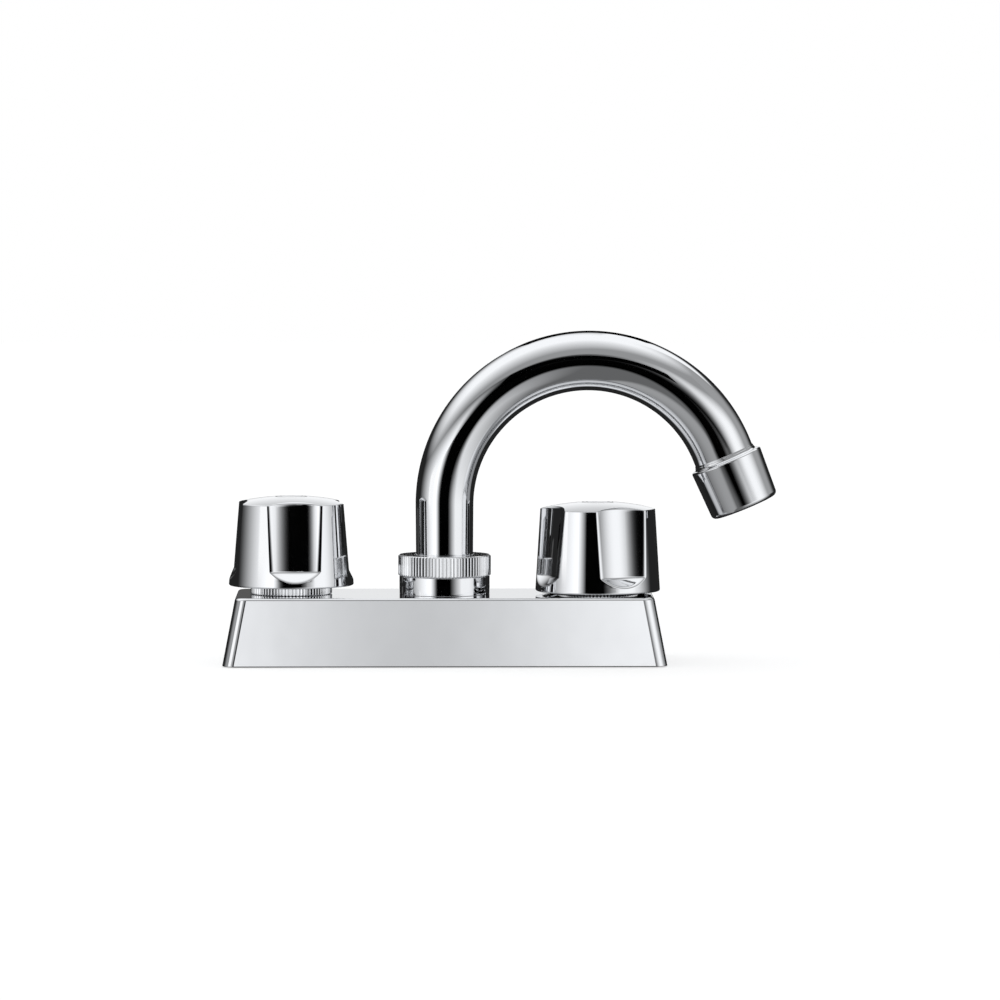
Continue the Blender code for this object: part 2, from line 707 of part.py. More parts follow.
def knob_profile():
    """From the button's recess over the crown, down the side, then up through the hollow inside."""
    recess = BUTTON_RADIUS + 0.2 * MM
    head_room = SCREW_HEAD + 0.6 * MM
    shank_room = SCREW_SHANK + 0.5 * MM
    crown = [recess]
    for share in (0.53, 0.76, 0.955):
        crown.append(share * KNOB_TOP_RADIUS)
    profile = [(radius, crown_height(radius)) for radius in crown]
    edge_foot = KNOB_EDGE_HEIGHT - KNOB_EDGE
    edge_middle = KNOB_EDGE_HEIGHT - 0.1 * MM
    profile += [
        (knob_side(edge_middle) - 0.3 * KNOB_EDGE, edge_middle),
        (knob_side(edge_foot), edge_foot),
        (knob_side(0.6 * MM), 0.6 * MM),
        (KNOB_BOTTOM_RADIUS - 0.5 * MM, 0.0),
        (KNOB_SKIRT_RADIUS, 0.0),
        (KNOB_SKIRT_RADIUS - 0.3 * MM, 1.5 * MM),
        (KNOB_RING_ROOM, KNOB_RING_ROOM_TOP),
        (KNOB_CAVITY, KNOB_RING_ROOM_TOP + 0.4 * MM),
        (KNOB_CAVITY, KNOB_CAVITY_TOP),
        (KNOB_HUB, KNOB_CAVITY_TOP),
        (KNOB_HUB, KNOB_HUB_FOOT),
        (KNOB_SOCKET, KNOB_HUB_FOOT),
        (KNOB_SOCKET, KNOB_SOCKET_TOP),
        (shank_room, KNOB_SOCKET_TOP),
        (shank_room, SCREW_SEAT),
        (head_room, SCREW_SEAT),
        (head_room, BUTTON_FLOOR),
        (recess, BUTTON_FLOOR),
    ]
    return profile


def scoop_cutter(name, at, facing):
    """Four round bars that lean in towards the top. Each one's domed lower end leaves the scoop's ledge."""
    sides = 40
    lean = math.atan(SCOOP_TILT)
    # The foot is the level on the bar's axis where the straight bar ends and its dome begins.
    foot = SCOOP_FOOT + SCOOP_RADIUS * math.sin(lean)
    axis = SCOOP_AXIS_TOP + (KNOB_EDGE_HEIGHT - foot) * SCOOP_TILT
    bar = Matrix.Translation((axis, 0.0, foot)) @ Matrix.Rotation(-lean, 4, "Y")
    dome_centre = math.sqrt(SCOOP_NOSE**2 - SCOOP_RADIUS**2)
    levels = [(SCOOP_RADIUS, KNOB_EDGE_HEIGHT)]
    for radius in (SCOOP_RADIUS, 0.915 * SCOOP_RADIUS, 0.815 * SCOOP_RADIUS):
        levels.append((radius, dome_centre - math.sqrt(SCOOP_NOSE**2 - radius**2)))
    shape = bmesh.new()
    for n in range(SCOOPS):
        place = Matrix.Rotation(facing + math.tau * n / SCOOPS, 4, "Z") @ bar
        rings = []
        for radius, level in levels:
            ring_points = []
            for i in range(sides):
                angle = math.tau * (i + 0.5) / sides
                point = Vector((radius * math.cos(angle), radius * math.sin(angle), level))
                ring_points.append(shape.verts.new(place @ point))
            rings.append(ring_points)
        tip = shape.verts.new(place @ Vector((0.0, 0.0, dome_centre - SCOOP_NOSE)))
        shape.faces.new(rings[0])
        for i in range(sides):
            j = (i + 1) % sides
            for upper, lower in zip(rings, rings[1:]):
                shape.faces.new((upper[i], lower[i], lower[j], upper[j]))
            shape.faces.new((rings[-1][i], tip, rings[-1][j]))
    bmesh.ops.recalc_face_normals(shape, faces=shape.faces)
    mesh = bpy.data.meshes.new(name)
    shape.to_mesh(mesh)
    shape.free()
    return add_object(name, mesh, None, at)


def build_knob(side, x, rise, turn):
    """Knob with its index button and the screw below the button. Its origin is on its joint's axis."""
    at = (x, 0.0, KNOB_BASE + rise)
    knob = turned(side + "_knob", knob_profile(), ROUND_STEPS, "chrome", at)
    facing = turn - math.pi / 2
    boolean(knob, scoop_cutter(side + "_scoops", at, facing), "DIFFERENCE")
    button_top = crown_height(0.0)
    button_edge = crown_height(BUTTON_RADIUS)
    button = [
        (0.0, button_top),
        (BUTTON_RADIUS - 0.35 * MM, button_edge + 0.02 * MM),
        (BUTTON_RADIUS - 0.1 * MM, button_edge - 0.2 * MM),
        (BUTTON_RADIUS - 0.1 * MM, BUTTON_FLOOR + GAP),
        (0.0, BUTTON_FLOOR + GAP),
    ]
    turned(side + "_index_button", button, INNER_STEPS, "index_chrome", at)
    screw_seat = SCREW_SEAT + GAP
    screw = [
        (0.0, screw_seat + 1.4 * MM),
        (1.5 * MM, screw_seat + 1.4 * MM),
        (1.5 * MM, screw_seat + 2.8 * MM),
        (SCREW_HEAD, screw_seat + 2.6 * MM),
        (SCREW_HEAD, screw_seat),
        (SCREW_SHANK, screw_seat),
        (SCREW_SHANK, screw_seat - SCREW_LENGTH),
        (0.0, screw_seat - SCREW_LENGTH),
    ]
    turned(side + "_knob_screw", screw, SMALL_STEPS, "steel", at)


def build_spindle(side, x, rise):
    """Rising spindle: thread at the foot, stem with a ring groove, splined head with a screw hole."""
    at = (x, 0.0, rise)
    half_groove = STEM_GROOVE_HEIGHT / 2
    profile = [
        (0.0, SPINDLE_TOP - 0.3 * MM),
        (SPLINE_ROOT - 0.1 * MM, SPINDLE_TOP - 0.3 * MM),
        (SPLINE_ROOT - 0.1 * MM, SPINDLE_STEM_TOP),
        (SPINDLE_STEM, SPINDLE_STEM_TOP),
        (SPINDLE_STEM, STEM_RING_HEIGHT + half_groove),
        (STEM_GROOVE_FLOOR, STEM_RING_HEIGHT + half_groove),
        (STEM_GROOVE_FLOOR, STEM_RING_HEIGHT - half_groove),
        (SPINDLE_STEM, STEM_RING_HEIGHT - half_groove),
        (SPINDLE_STEM, SPINDLE_THREAD_TOP),
        (SPINDLE_THREAD, SPINDLE_THREAD_TOP),
        (SPINDLE_THREAD, SPINDLE_FOOT),
        (JUMPER_STEM + GAP, SPINDLE_FOOT),
        (JUMPER_STEM + GAP, SPINDLE_FOOT + JUMPER_STEM_LENGTH),
        (0.0, SPINDLE_FOOT + JUMPER_STEM_LENGTH),
    ]
    spindle = turned(side + "_spindle", profile, SMALL_STEPS, "brass", at)
    levels = [
        star(SPLINE_CREST, SPLINE_ROOT, SPINDLE_SPLINES, SPINDLE_STEM_TOP + 1.0 * MM),
        star(SPLINE_CREST, SPLINE_ROOT, SPINDLE_SPLINES, SPINDLE_TOP),
    ]
    boolean(spindle, lofted(side + "_splines", levels, None, at), "UNION")
    hole_bottom = KNOB_BASE + SCREW_SEAT - SCREW_LENGTH - 0.6 * MM
    hole = rod(side + "_spindle_hole", SCREW_SHANK + GAP, hole_bottom, SPINDLE_TOP + 1.0 * MM, 16, None, at)
    boolean(spindle, hole, "DIFFERENCE")
    middle = (STEM_GROOVE_FLOOR + BONNET_BORE) / 2
    section = (BONNET_BORE - STEM_GROOVE_FLOOR) / 2 - 0.2 * MM
    o_ring(side + "_spindle_o_ring", middle, section, STEM_RING_HEIGHT, "rubber", at)


def build_washer_stack(side, x, rise):
    """Jumper, seat washer and the screw that holds the washer to it."""
    at = (x, 0.0, rise)
    washer_bottom = SEAT_TOP + GAP
    washer_top = washer_bottom + WASHER_THICKNESS
    jumper_bottom = washer_top + GAP
    jumper_top = jumper_bottom + JUMPER_THICKNESS
    stem_top = jumper_top + JUMPER_STEM_LENGTH - 0.1 * MM
    jumper = [
        (0.0, stem_top),
        (JUMPER_STEM, stem_top),
        (JUMPER_STEM, jumper_top),
        (WASHER_RADIUS, jumper_top),
        (WASHER_RADIUS, jumper_bottom),
        (1.5 * MM, jumper_bottom),
        (1.5 * MM, jumper_bottom + 2.4 * MM),
        (0.0, jumper_bottom + 2.4 * MM),
    ]
    turned(side + "_jumper", jumper, SMALL_STEPS, "brass", at)
    ring(side + "_seat_washer", WASHER_RADIUS, 1.5 * MM, washer_bottom, washer_top, SMALL_STEPS, "rubber", at)
    head_top = washer_bottom - GAP
    screw = [
        (0.0, jumper_bottom + 2.0 * MM),
        (1.2 * MM, jumper_bottom + 2.0 * MM),
        (1.2 * MM, head_top),
        (3.0 * MM, head_top),
        (3.0 * MM, head_top - 1.4 * MM),
        (0.0, head_top - 1.4 * MM),
    ]
    turned(side + "_washer_screw", screw, SMALL_STEPS, "steel", at)


def build_bonnet(side, x):
    """Headwork screwed into the barrel, and the knurled ring that clamps the cover round it."""
    at = (x, 0.0, 0.0)
    profile = [
        (0.0, BONNET_TOP),
        (BONNET_GLAND, BONNET_TOP),
        (BONNET_GLAND, BARREL_TOP + 1.5 * MM),
        (BONNET_RADIUS, BARREL_TOP + 1.5 * MM),
        (BONNET_RADIUS, BONNET_TIP + 3.2 * MM),
        (BONNET_TIP_RADIUS, BONNET_TIP + 2.7 * MM),
        (BONNET_TIP_RADIUS, BONNET_TIP),
        (0.0, BONNET_TIP),
    ]
    bonnet = turned(side + "_bonnet", profile, INNER_STEPS, "brass", at)
    corner = HEX_ACROSS_FLATS / math.sqrt(3)
    hex_bottom = BARREL_TOP + GAP
    hexagon = rod(side + "_bonnet_hex", corner, hex_bottom, hex_bottom + HEX_HEIGHT, 6, None, at)
    boolean(bonnet, hexagon, "UNION")
    bore = [
        (0.0, BONNET_TOP + 1.0 * MM),
        (BONNET_BORE, BONNET_TOP + 1.0 * MM),
        (BONNET_BORE, BONNET_THREAD_TOP),
        (BONNET_THREAD, BONNET_THREAD_TOP),
        (BONNET_THREAD, BONNET_TIP - 1.0 * MM),
        (0.0, BONNET_TIP - 1.0 * MM),
    ]
    boolean(bonnet, turned(side + "_bonnet_bore", bore, INNER_STEPS, None, at), "DIFFERENCE")
    lock_bottom = BODY_HEIGHT + GAP
    lock_top = lock_bottom + LOCK_HEIGHT
    lock_bore = [
        (0.0, lock_top + 1.0 * MM),
        (BARREL_RADIUS + GAP, lock_top + 1.0 * MM),
        (BARREL_RADIUS + GAP, lock_bottom - 1.0 * MM),
        (0.0, lock_bottom - 1.0 * MM),
    ]
    build_knurled(side + "_lock_ring", LOCK_FLUTES, LOCK_CREST, lock_bottom, lock_top, 0.0, lock_bore, at)


build_cover()
build_gasket()
build_waterway()
build_spout_seat()
build_spout()
build_outlet()
for side, x, rise, turn in (
    ("left", -VALVE_SPACING / 2, LEFT_RISE, LEFT_TURN),
    ("right", VALVE_SPACING / 2, RIGHT_RISE, RIGHT_TURN),
):
    build_bonnet(side, x)
    build_washer_stack(side, x, rise)
    build_spindle(side, x, rise)
    build_knob(side, x, rise, turn)
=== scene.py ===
# %% [markdown]
# # A basin mixer tap in bright chrome plate
# The object is a small basin mixer: a box-shaped body, two round knobs with finger scoops, and a
# tube spout that rises between them, bends over in an arch and ends in an outlet housing.
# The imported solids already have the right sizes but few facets, and chrome shows every facet. So
# each outer piece is made again here as a fine smooth skin on the same sizes, stands for its solid,
# and moves with the same body. Inner pieces keep their solids and only get a proper material.

import math

import bmesh
import bpy
import numpy as np
from mathutils import Matrix, Vector


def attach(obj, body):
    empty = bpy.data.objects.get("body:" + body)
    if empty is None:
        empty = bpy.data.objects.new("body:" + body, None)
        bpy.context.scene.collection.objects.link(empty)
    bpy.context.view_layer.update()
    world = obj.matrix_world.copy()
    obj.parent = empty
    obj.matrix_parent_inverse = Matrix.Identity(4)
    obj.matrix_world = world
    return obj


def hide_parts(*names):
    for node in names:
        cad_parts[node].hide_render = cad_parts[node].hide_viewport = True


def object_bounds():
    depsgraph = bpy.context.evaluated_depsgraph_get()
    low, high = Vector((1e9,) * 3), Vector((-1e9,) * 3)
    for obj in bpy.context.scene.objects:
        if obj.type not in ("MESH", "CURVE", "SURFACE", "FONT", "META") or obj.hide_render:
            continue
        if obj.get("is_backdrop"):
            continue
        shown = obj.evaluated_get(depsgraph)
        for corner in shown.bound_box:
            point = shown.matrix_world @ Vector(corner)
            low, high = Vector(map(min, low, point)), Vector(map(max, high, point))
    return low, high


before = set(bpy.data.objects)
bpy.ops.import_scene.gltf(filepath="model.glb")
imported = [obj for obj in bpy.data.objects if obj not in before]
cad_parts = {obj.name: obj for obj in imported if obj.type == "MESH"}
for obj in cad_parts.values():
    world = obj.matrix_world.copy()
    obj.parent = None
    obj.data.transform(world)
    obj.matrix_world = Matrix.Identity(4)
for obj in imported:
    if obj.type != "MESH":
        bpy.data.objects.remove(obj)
CAD_LOW, CAD_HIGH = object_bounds()

# %% [markdown]
# ## Colours and nodes
# A hex colour is what an image program shows, which is sRGB. Blender's shaders work in linear
# light, so one function turns every hex code into linear numbers. A second function adds one node
# with its settings and links, which keeps each material short enough to read at a glance.

# %% Colour and node helpers
MM = 0.001


def linear(hex_code):
    """The linear red, green, blue and alpha of an sRGB hex code."""
    channels = []
    for start in (1, 3, 5):
        value = int(hex_code[start : start + 2], 16) / 255.0
        if value <= 0.04045:
            channels.append(value / 12.92)
        else:
            channels.append(((value + 0.055) / 1.055) ** 2.4)
    return (*channels, 1.0)


def add_node(tree, kind, values=None, links=None, **settings):
    """Adds one node: its own settings, the values of its inputs, and the outputs that feed its inputs."""
    node = tree.nodes.new(kind)
    for name, value in settings.items():
        setattr(node, name, value)
    for name, value in (values or {}).items():
        node.inputs[name].default_value = value
    for name, source in (links or {}).items():
        tree.links.new(source, node.inputs[name])
    return node


def start_material(name, **shader_values):
    """A material with a Principled shader and its plain values, and the object's own coordinates."""
    material = bpy.data.materials.new(name)
    material.use_nodes = True
    tree = material.node_tree
    tree.nodes.clear()
    values = {key.replace("_", " "): value for key, value in shader_values.items()}
    shader = add_node(tree, "ShaderNodeBsdfPrincipled", values)
    add_node(tree, "ShaderNodeOutputMaterial", links={"Surface": shader.outputs["BSDF"]})
    place = add_node(tree, "ShaderNodeTexCoord").outputs["Object"]
    return material, tree, shader, place


def per_metre(size):
    """A texture's scale that gives features of this size in millimetres."""
    return 1.0 / (size * MM)


print("mid grey #808080 in linear light:", round(linear("#808080")[0], 3))

# %% [markdown]
# ## Patterns
# No finish is the same all over, so each one is driven by a pattern, and four helpers make and use
# them. Noise gives patches of a size in real millimetres. A pattern can then set a value between
# two limits, mix two tones, or lift the surface by a small height, which is a bump.


# %% Pattern helpers
def noise(tree, place, size, detail, roughness=0.5):
    """Noise in three dimensions, in patches of this size in millimetres."""
    values = {"Scale": per_metre(size), "Detail": detail, "Roughness": roughness}
    return add_node(tree, "ShaderNodeTexNoise", values, {"Vector": place}).outputs["Fac"]


def spread(tree, pattern, low, high, start=0.0, stop=1.0):
    """A value that goes from low to high as the pattern goes from start to stop."""
    values = {"From Min": start, "From Max": stop, "To Min": low, "To Max": high}
    return add_node(tree, "ShaderNodeMapRange", values, {"Value": pattern}).outputs["Result"]


def two_tones(tree, pattern, dark, light, start=0.0, stop=1.0):
    """A colour that goes from dark to light as the pattern goes from start to stop."""
    tone = add_node(tree, "ShaderNodeValToRGB", links={"Fac": pattern})
    for element, position, colour in zip(tone.color_ramp.elements, (start, stop), (dark, light)):
        element.position = position
        element.color = linear(colour)
    return tone.outputs["Color"]


def emboss(tree, shader, pattern, height, strength):
    """Lifts a shader's surface by a pattern. The height is in millimetres."""
    values = {"Strength": strength, "Distance": height * MM}
    bump = add_node(tree, "ShaderNodeBump", values, {"Height": pattern})
    tree.links.new(bump.outputs["Normal"], shader.inputs["Normal"])


print("a patch of 12 mm has the texture scale", round(per_metre(12.0), 1))

# %% [markdown]
# ## Bright chrome plate
# The cover, knobs, spout, nut and housing are brass or zinc, polished, then plated with nickel and
# a thin layer of chromium. A mirror has almost no colour of its own: the eye reads it from what it
# reflects. What tells it from a computer's perfect mirror is the polisher's work. The polish leaves
# faint patches that are a little hazier than others, 12 mm across, and the wheel leaves waves a few
# microns high, 9 mm apart, that bend the reflected edges slightly.


# %% Chrome plate
def chrome_plate(name, haze_low, haze_high, wave_height):
    """Polished and plated metal. The wave height is in millimetres."""
    material, tree, shader, place = start_material(name, Base_Color=linear("#E6E7E9"), Metallic=1.0)
    patches = noise(tree, place, 12.0, 3.0, 0.55)
    tree.links.new(spread(tree, patches, haze_low, haze_high, 0.3, 0.7), shader.inputs["Roughness"])
    waves = noise(tree, place, 9.0, 1.0, 0.4)
    emboss(tree, shader, waves, wave_height, 1.0)
    return material


polished_chrome = chrome_plate("chrome_plate_polished", 0.035, 0.065, 0.006)
knurled_chrome = chrome_plate("chrome_plate_knurled", 0.07, 0.13, 0.002)
print("made", polished_chrome.name, "and", knurled_chrome.name)

# %% [markdown]
# ## Spun satin chrome
# The index buttons are plain discs, faced on a lathe before plating. The tool leaves rings so fine
# that they only blur the reflection into a soft sheen. The rings here are 1.6 mm apart, far coarser
# than real ones, because finer ones would not show in the picture at all. A wave texture turns
# through twenty radians in each of its units, so its scale is given by the length of one radian,
# and a whole ring is 6.28 times as wide.

# %% Satin chrome of the index buttons
RADIANS_PER_UNIT = 20.0
RING_RADIAN = 0.25

satin_chrome, tree, shader, place = start_material(
    "chrome_plate_spun_satin", Base_Color=linear("#D9DADC"), Metallic=1.0
)
tool_rings = add_node(
    tree,
    "ShaderNodeTexWave",
    {"Scale": per_metre(RING_RADIAN) / RADIANS_PER_UNIT, "Distortion": 0.3, "Detail": 1.0},
    {"Vector": place},
    wave_type="RINGS",
    rings_direction="Z",
).outputs["Fac"]
tree.links.new(spread(tree, tool_rings, 0.16, 0.26), shader.inputs["Roughness"])
emboss(tree, shader, tool_rings, 0.004, 0.5)
print("made", satin_chrome.name)

# %% [markdown]
# ## Brass, cast and turned
# The waterway is a sand casting that is never seen in use, so it keeps its dull, grainy cast skin:
# grains about 0.6 mm across and darker brown patches where the surface has tarnished. Spindles,
# bonnets and the ferrule are turned from brass bar, so they are brighter and carry shallow rings
# from the lathe tool, one every 1.9 mm up their length.

# %% Brass
LATHE_RADIAN = 0.3


def brass(name, light, dark, roughness_low, roughness_high):
    """Brass whose colour and polish drift between two tones in patches 5 mm across."""
    material, tree, shader, place = start_material(name, Metallic=1.0)
    tarnish = noise(tree, place, 5.0, 4.0, 0.6)
    tree.links.new(two_tones(tree, tarnish, dark, light, 0.35, 0.65), shader.inputs["Base Color"])
    tree.links.new(spread(tree, tarnish, roughness_high, roughness_low), shader.inputs["Roughness"])
    return material, tree, shader, place


cast_brass, tree, shader, place = brass("brass_sand_cast", "#C9A765", "#96763C", 0.42, 0.62)
emboss(tree, shader, noise(tree, place, 0.6, 2.0), 0.06, 0.6)

turned_brass, tree, shader, place = brass("brass_turned", "#D8B873", "#BE9A52", 0.2, 0.34)
lathe_lines = add_node(
    tree,
    "ShaderNodeTexWave",
    {"Scale": per_metre(LATHE_RADIAN) / RADIANS_PER_UNIT, "Distortion": 0.2},
    {"Vector": place},
    wave_type="BANDS",
    bands_direction="Z",
).outputs["Fac"]
emboss(tree, shader, lathe_lines, 0.01, 0.4)
print("made", cast_brass.name, "and", turned_brass.name)

# %% [markdown]
# ## Stainless steel, rubber and acetal
# The screws and the snap ring are stainless steel, tumbled until they have a grey, slightly mottled
# sheen. The rings, washers and the base gasket are black EPDM rubber, moulded, so they are matt and
# finely pitted, with a pale bloom in places. The aerator insert is moulded acetal, a pale grey
# plastic with a soft gloss and a fine mould texture.

# %% Steel, rubber and acetal
tumbled_steel, tree, shader, place = start_material("stainless_steel_tumbled", Metallic=1.0)
mottle = noise(tree, place, 0.8, 3.0)
tree.links.new(two_tones(tree, mottle, "#A9AAAB", "#C9CACB"), shader.inputs["Base Color"])
tree.links.new(spread(tree, mottle, 0.24, 0.4), shader.inputs["Roughness"])


def moulded(name, light, dark, patch, roughness, grain, grain_height, ior):
    """A moulded polymer: two tones in patches, and a mould grain. Sizes are in millimetres."""
    material, tree, shader, place = start_material(name, Roughness=roughness, IOR=ior)
    bloom = noise(tree, place, patch, 4.0)
    tree.links.new(two_tones(tree, bloom, dark, light, 0.4, 0.75), shader.inputs["Base Color"])
    emboss(tree, shader, noise(tree, place, grain, 2.0), grain_height, 0.5)
    return material


black_rubber = moulded("epdm_rubber_moulded", "#2E2E2F", "#1B1B1C", 4.0, 0.72, 0.35, 0.03, 1.52)
grey_acetal = moulded("acetal_moulded", "#C9CBCC", "#BEC0C2", 6.0, 0.38, 0.4, 0.012, 1.48)
print("made", tumbled_steel.name + ",", black_rubber.name, "and", grey_acetal.name)

# %% [markdown]
# ## Skins from rings of points
# Nearly every part of a tap is turned, drawn or swept, so its surface is a stack of rings. One
# function joins such rings into a mesh, and one puts a finished mesh in its place. Long flat faces
# beside narrow rounded edges would shade as if they bulged, so each piece gets the Weighted Normal
# modifier, which lets the large faces decide the shading.

# %% Mesh helpers
JOIN_DISTANCE = 0.0001 * MM


def skin(name, rings, closed=True, sharp=40.0):
    """A mesh through rings of points. A closed skin joins its last ring to its first."""
    points = np.asarray(rings, dtype=float)
    count, columns, _ = points.shape
    spans = count if closed else count - 1
    ring = np.arange(spans)[:, None] * columns
    ring_above = (ring + columns) % (count * columns)
    column = np.arange(columns)[None, :]
    column_beside = (column + 1) % columns
    corners = [ring + column, ring + column_beside, ring_above + column_beside, ring_above + column]
    faces = np.stack(np.broadcast_arrays(*corners), axis=-1).reshape(-1, 4)
    mesh = bpy.data.meshes.new(name)
    mesh.from_pydata(points.reshape(-1, 3).tolist(), [], faces.tolist())
    return tidy(mesh, sharp)


def tidy(mesh, sharp):
    """Joins points that meet, drops what collapsed, turns the faces outwards and shades them smooth."""
    shape = bmesh.new()
    shape.from_mesh(mesh)
    bmesh.ops.remove_doubles(shape, verts=shape.verts, dist=JOIN_DISTANCE)
    loose = [edge for edge in shape.edges if not edge.link_faces]
    bmesh.ops.delete(shape, geom=loose, context="EDGES")
    bmesh.ops.recalc_face_normals(shape, faces=shape.faces)
    shape.to_mesh(mesh)
    shape.free()
    mesh.shade_smooth()
    mesh.set_sharp_from_angle(angle=math.radians(sharp))
    return mesh


def put(mesh, material, body, node, place=None):
    """Puts a skin in place as the piece that stands for one solid and rides on that solid's body."""
    piece = bpy.data.objects.new(node + "_fine", mesh)
    bpy.context.scene.collection.objects.link(piece)
    if place is not None:
        piece.matrix_world = place
    mesh.materials.clear()
    mesh.materials.append(material)
    flat_faces = piece.modifiers.new("Flat faces lead", "WEIGHTED_NORMAL")
    flat_faces.keep_sharp = True
    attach(piece, body)
    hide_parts(node)
    triangles = sum(len(face.vertices) - 2 for face in mesh.polygons)
    print(f"{piece.name}: {triangles} triangles on {body}")
    return piece


# %% [markdown]
# ## Rounded outlines and the lathe
# No edge on a plated part is sharp, because buffing rounds it first, and the bright line along each
# edge is what shows that the part is solid metal. So every corner of an outline carries its own
# radius, and a helper replaces the corner by an arc that touches both sides.


# %% Outline and lathe helpers
def rounded(corners, closed=True, steps=6):
    """An outline of (radius, height) in millimetres. A corner's third number is the radius of its arc."""
    outline = []
    for i, (across, up, fillet) in enumerate(corners):
        corner = Vector((across, up))
        if fillet == 0.0:
            outline.append(corner)
            continue
        before = Vector(corners[i - 1][:2]) - corner
        after = Vector(corners[(i + 1) % len(corners)][:2]) - corner
        before.normalize()
        after.normalize()
        half = before.angle(after) / 2.0
        reach = fillet / math.tan(half)
        centre = corner + (before + after).normalized() * (fillet / math.sin(half))
        first = (corner + before * reach - centre).normalized()
        last = (corner + after * reach - centre).normalized()
        for step in range(steps + 1):
            outline.append(centre + first.slerp(last, step / steps) * fillet)
    return outline


def lathe(name, outline, columns=144, closed=True, sharp=40.0):
    """Turns an outline in millimetres once round the upright axis."""
    angles = np.linspace(0.0, math.tau, columns, endpoint=False)
    rings = []
    for point in outline:
        radius = point[0] * MM
        height = np.full(columns, point[1] * MM)
        rings.append(np.stack([radius * np.cos(angles), radius * np.sin(angles), height], axis=-1))
    return skin(name, rings, closed, sharp)


def carve(mesh, cutters, sharp=40.0):
    """Cuts closed meshes out of another with exact Booleans, each applied at once."""
    body = bpy.data.objects.new("carved", mesh)
    bpy.context.scene.collection.objects.link(body)
    for cutter in cutters:
        tool = bpy.data.objects.new("cutter", cutter)
        bpy.context.scene.collection.objects.link(tool)
        cut = body.modifiers.new("Cut", "BOOLEAN")
        cut.operation = "DIFFERENCE"
        cut.solver = "EXACT"
        cut.object = tool
        bpy.context.view_layer.update()
        graph = bpy.context.evaluated_depsgraph_get()
        body.data = bpy.data.meshes.new_from_object(body.evaluated_get(graph))
        body.modifiers.clear()
        bpy.data.objects.remove(tool, do_unlink=True)
    result = body.data
    bpy.data.objects.remove(body, do_unlink=True)
    return tidy(result, sharp)


test_outline = rounded([(1.0, 0.0, 0.2), (1.0, 2.0, 0.2), (0.5, 2.0, 0.1), (0.5, 0.0, 0.1)])
print("a rounded ring section has", len(test_outline), "points")

# %% [markdown]
# ## Body cover
# The cover is a pressed and polished brass shell on a box shape whose four sides lean in towards
# the top. It could be a bevelled cube, but the lean, the 4 mm corner radius and the small edge
# radius are easier to hold exactly as a loft: rounded rectangles stacked from the bottom edge up.
# The hollow inside and the three round holes are then cut with Booleans, as in the solid.

# %% Body cover
VALVE_SPACING = 101.6
BODY_HEIGHT = 22.5
BODY_TOP_WIDTH = 137.8
BODY_BOTTOM_WIDTH = 146.3
BODY_TOP_DEPTH = 44.0
BODY_BOTTOM_DEPTH = 53.0
BODY_FOOT = 0.3
BODY_WALL = 2.0
BODY_CORNER = 4.0
BODY_EDGE = 0.8
BODY_FOOT_EDGE = 0.25
BARREL_HOLE = 11.3
NECK_HOLE = 13.3


def body_ring(height, inset, corner, steps=14):
    """Points round the body at one height, stepped in by the inset. Sizes are in millimetres."""
    share = height / BODY_HEIGHT
    half_width = (BODY_BOTTOM_WIDTH + share * (BODY_TOP_WIDTH - BODY_BOTTOM_WIDTH)) / 2.0 - inset
    half_depth = (BODY_BOTTOM_DEPTH + share * (BODY_TOP_DEPTH - BODY_BOTTOM_DEPTH)) / 2.0 - inset
    points = []
    for quarter, (side, end) in enumerate(((1, 1), (-1, 1), (-1, -1), (1, -1))):
        for step in range(steps + 1):
            angle = (quarter + step / steps) * math.pi / 2.0
            across = side * (half_width - corner) + corner * math.cos(angle)
            along = end * (half_depth - corner) + corner * math.sin(angle)
            points.append((across * MM, along * MM, height * MM))
    return points


def capped(name, rings, sharp=40.0):
    """A loft from the lowest ring to the highest, closed flat at both ends."""
    mesh = skin(name, rings, closed=False, sharp=sharp)
    shape = bmesh.new()
    shape.from_mesh(mesh)
    bmesh.ops.holes_fill(shape, edges=[edge for edge in shape.edges if edge.is_boundary])
    shape.to_mesh(mesh)
    shape.free()
    return tidy(mesh, sharp)


outer_rings = []
for step in reversed(range(5)):
    turn = step / 4 * math.pi / 2.0
    height = BODY_FOOT + BODY_FOOT_EDGE * (1 - math.sin(turn))
    inset = BODY_FOOT_EDGE * (1 - math.cos(turn))
    outer_rings.append(body_ring(height, inset, BODY_CORNER))
for step in range(9):
    turn = step / 8 * math.pi / 2.0
    height = BODY_HEIGHT - BODY_EDGE * (1 - math.sin(turn))
    inset = BODY_EDGE * (1 - math.cos(turn))
    outer_rings.append(body_ring(height, inset, BODY_CORNER - inset))
shell = capped("cover_outside", outer_rings)
hollow = capped(
    "cover_inside",
    [
        body_ring(-5.0, BODY_WALL, BODY_CORNER - BODY_WALL),
        body_ring(BODY_HEIGHT - BODY_WALL, BODY_WALL, BODY_CORNER - BODY_WALL),
    ],
)
cutters = [hollow]
plug_top = BODY_HEIGHT + 2.0
plug_bottom = BODY_HEIGHT - 4.0
plugs = [(-VALVE_SPACING / 2, BARREL_HOLE), (0.0, NECK_HOLE), (VALVE_SPACING / 2, BARREL_HOLE)]
for across, radius in plugs:
    plug_outline = [(0.0, plug_top), (radius, plug_top), (radius, plug_bottom), (0.0, plug_bottom)]
    plug = lathe("hole", plug_outline, columns=96, closed=False)
    plug.transform(Matrix.Translation((across * MM, 0.0, 0.0)))
    cutters.append(plug)
put(carve(shell, cutters), polished_chrome, "base", "cover")

# %% [markdown]
# ## Spout boss and knurled nut
# The boss ring sits on the cover and the spout nut screws down over it. The nut is knurled with
# straight grooves so that wet fingers can turn it: 80 of them, 0.35 mm deep. Each groove gets eight
# columns of points, which rounds the ridges as buffing does. A chamfer at the top is a plain cone,
# and the grooves run out where their depth passes below it, so the radius is the smaller of both.

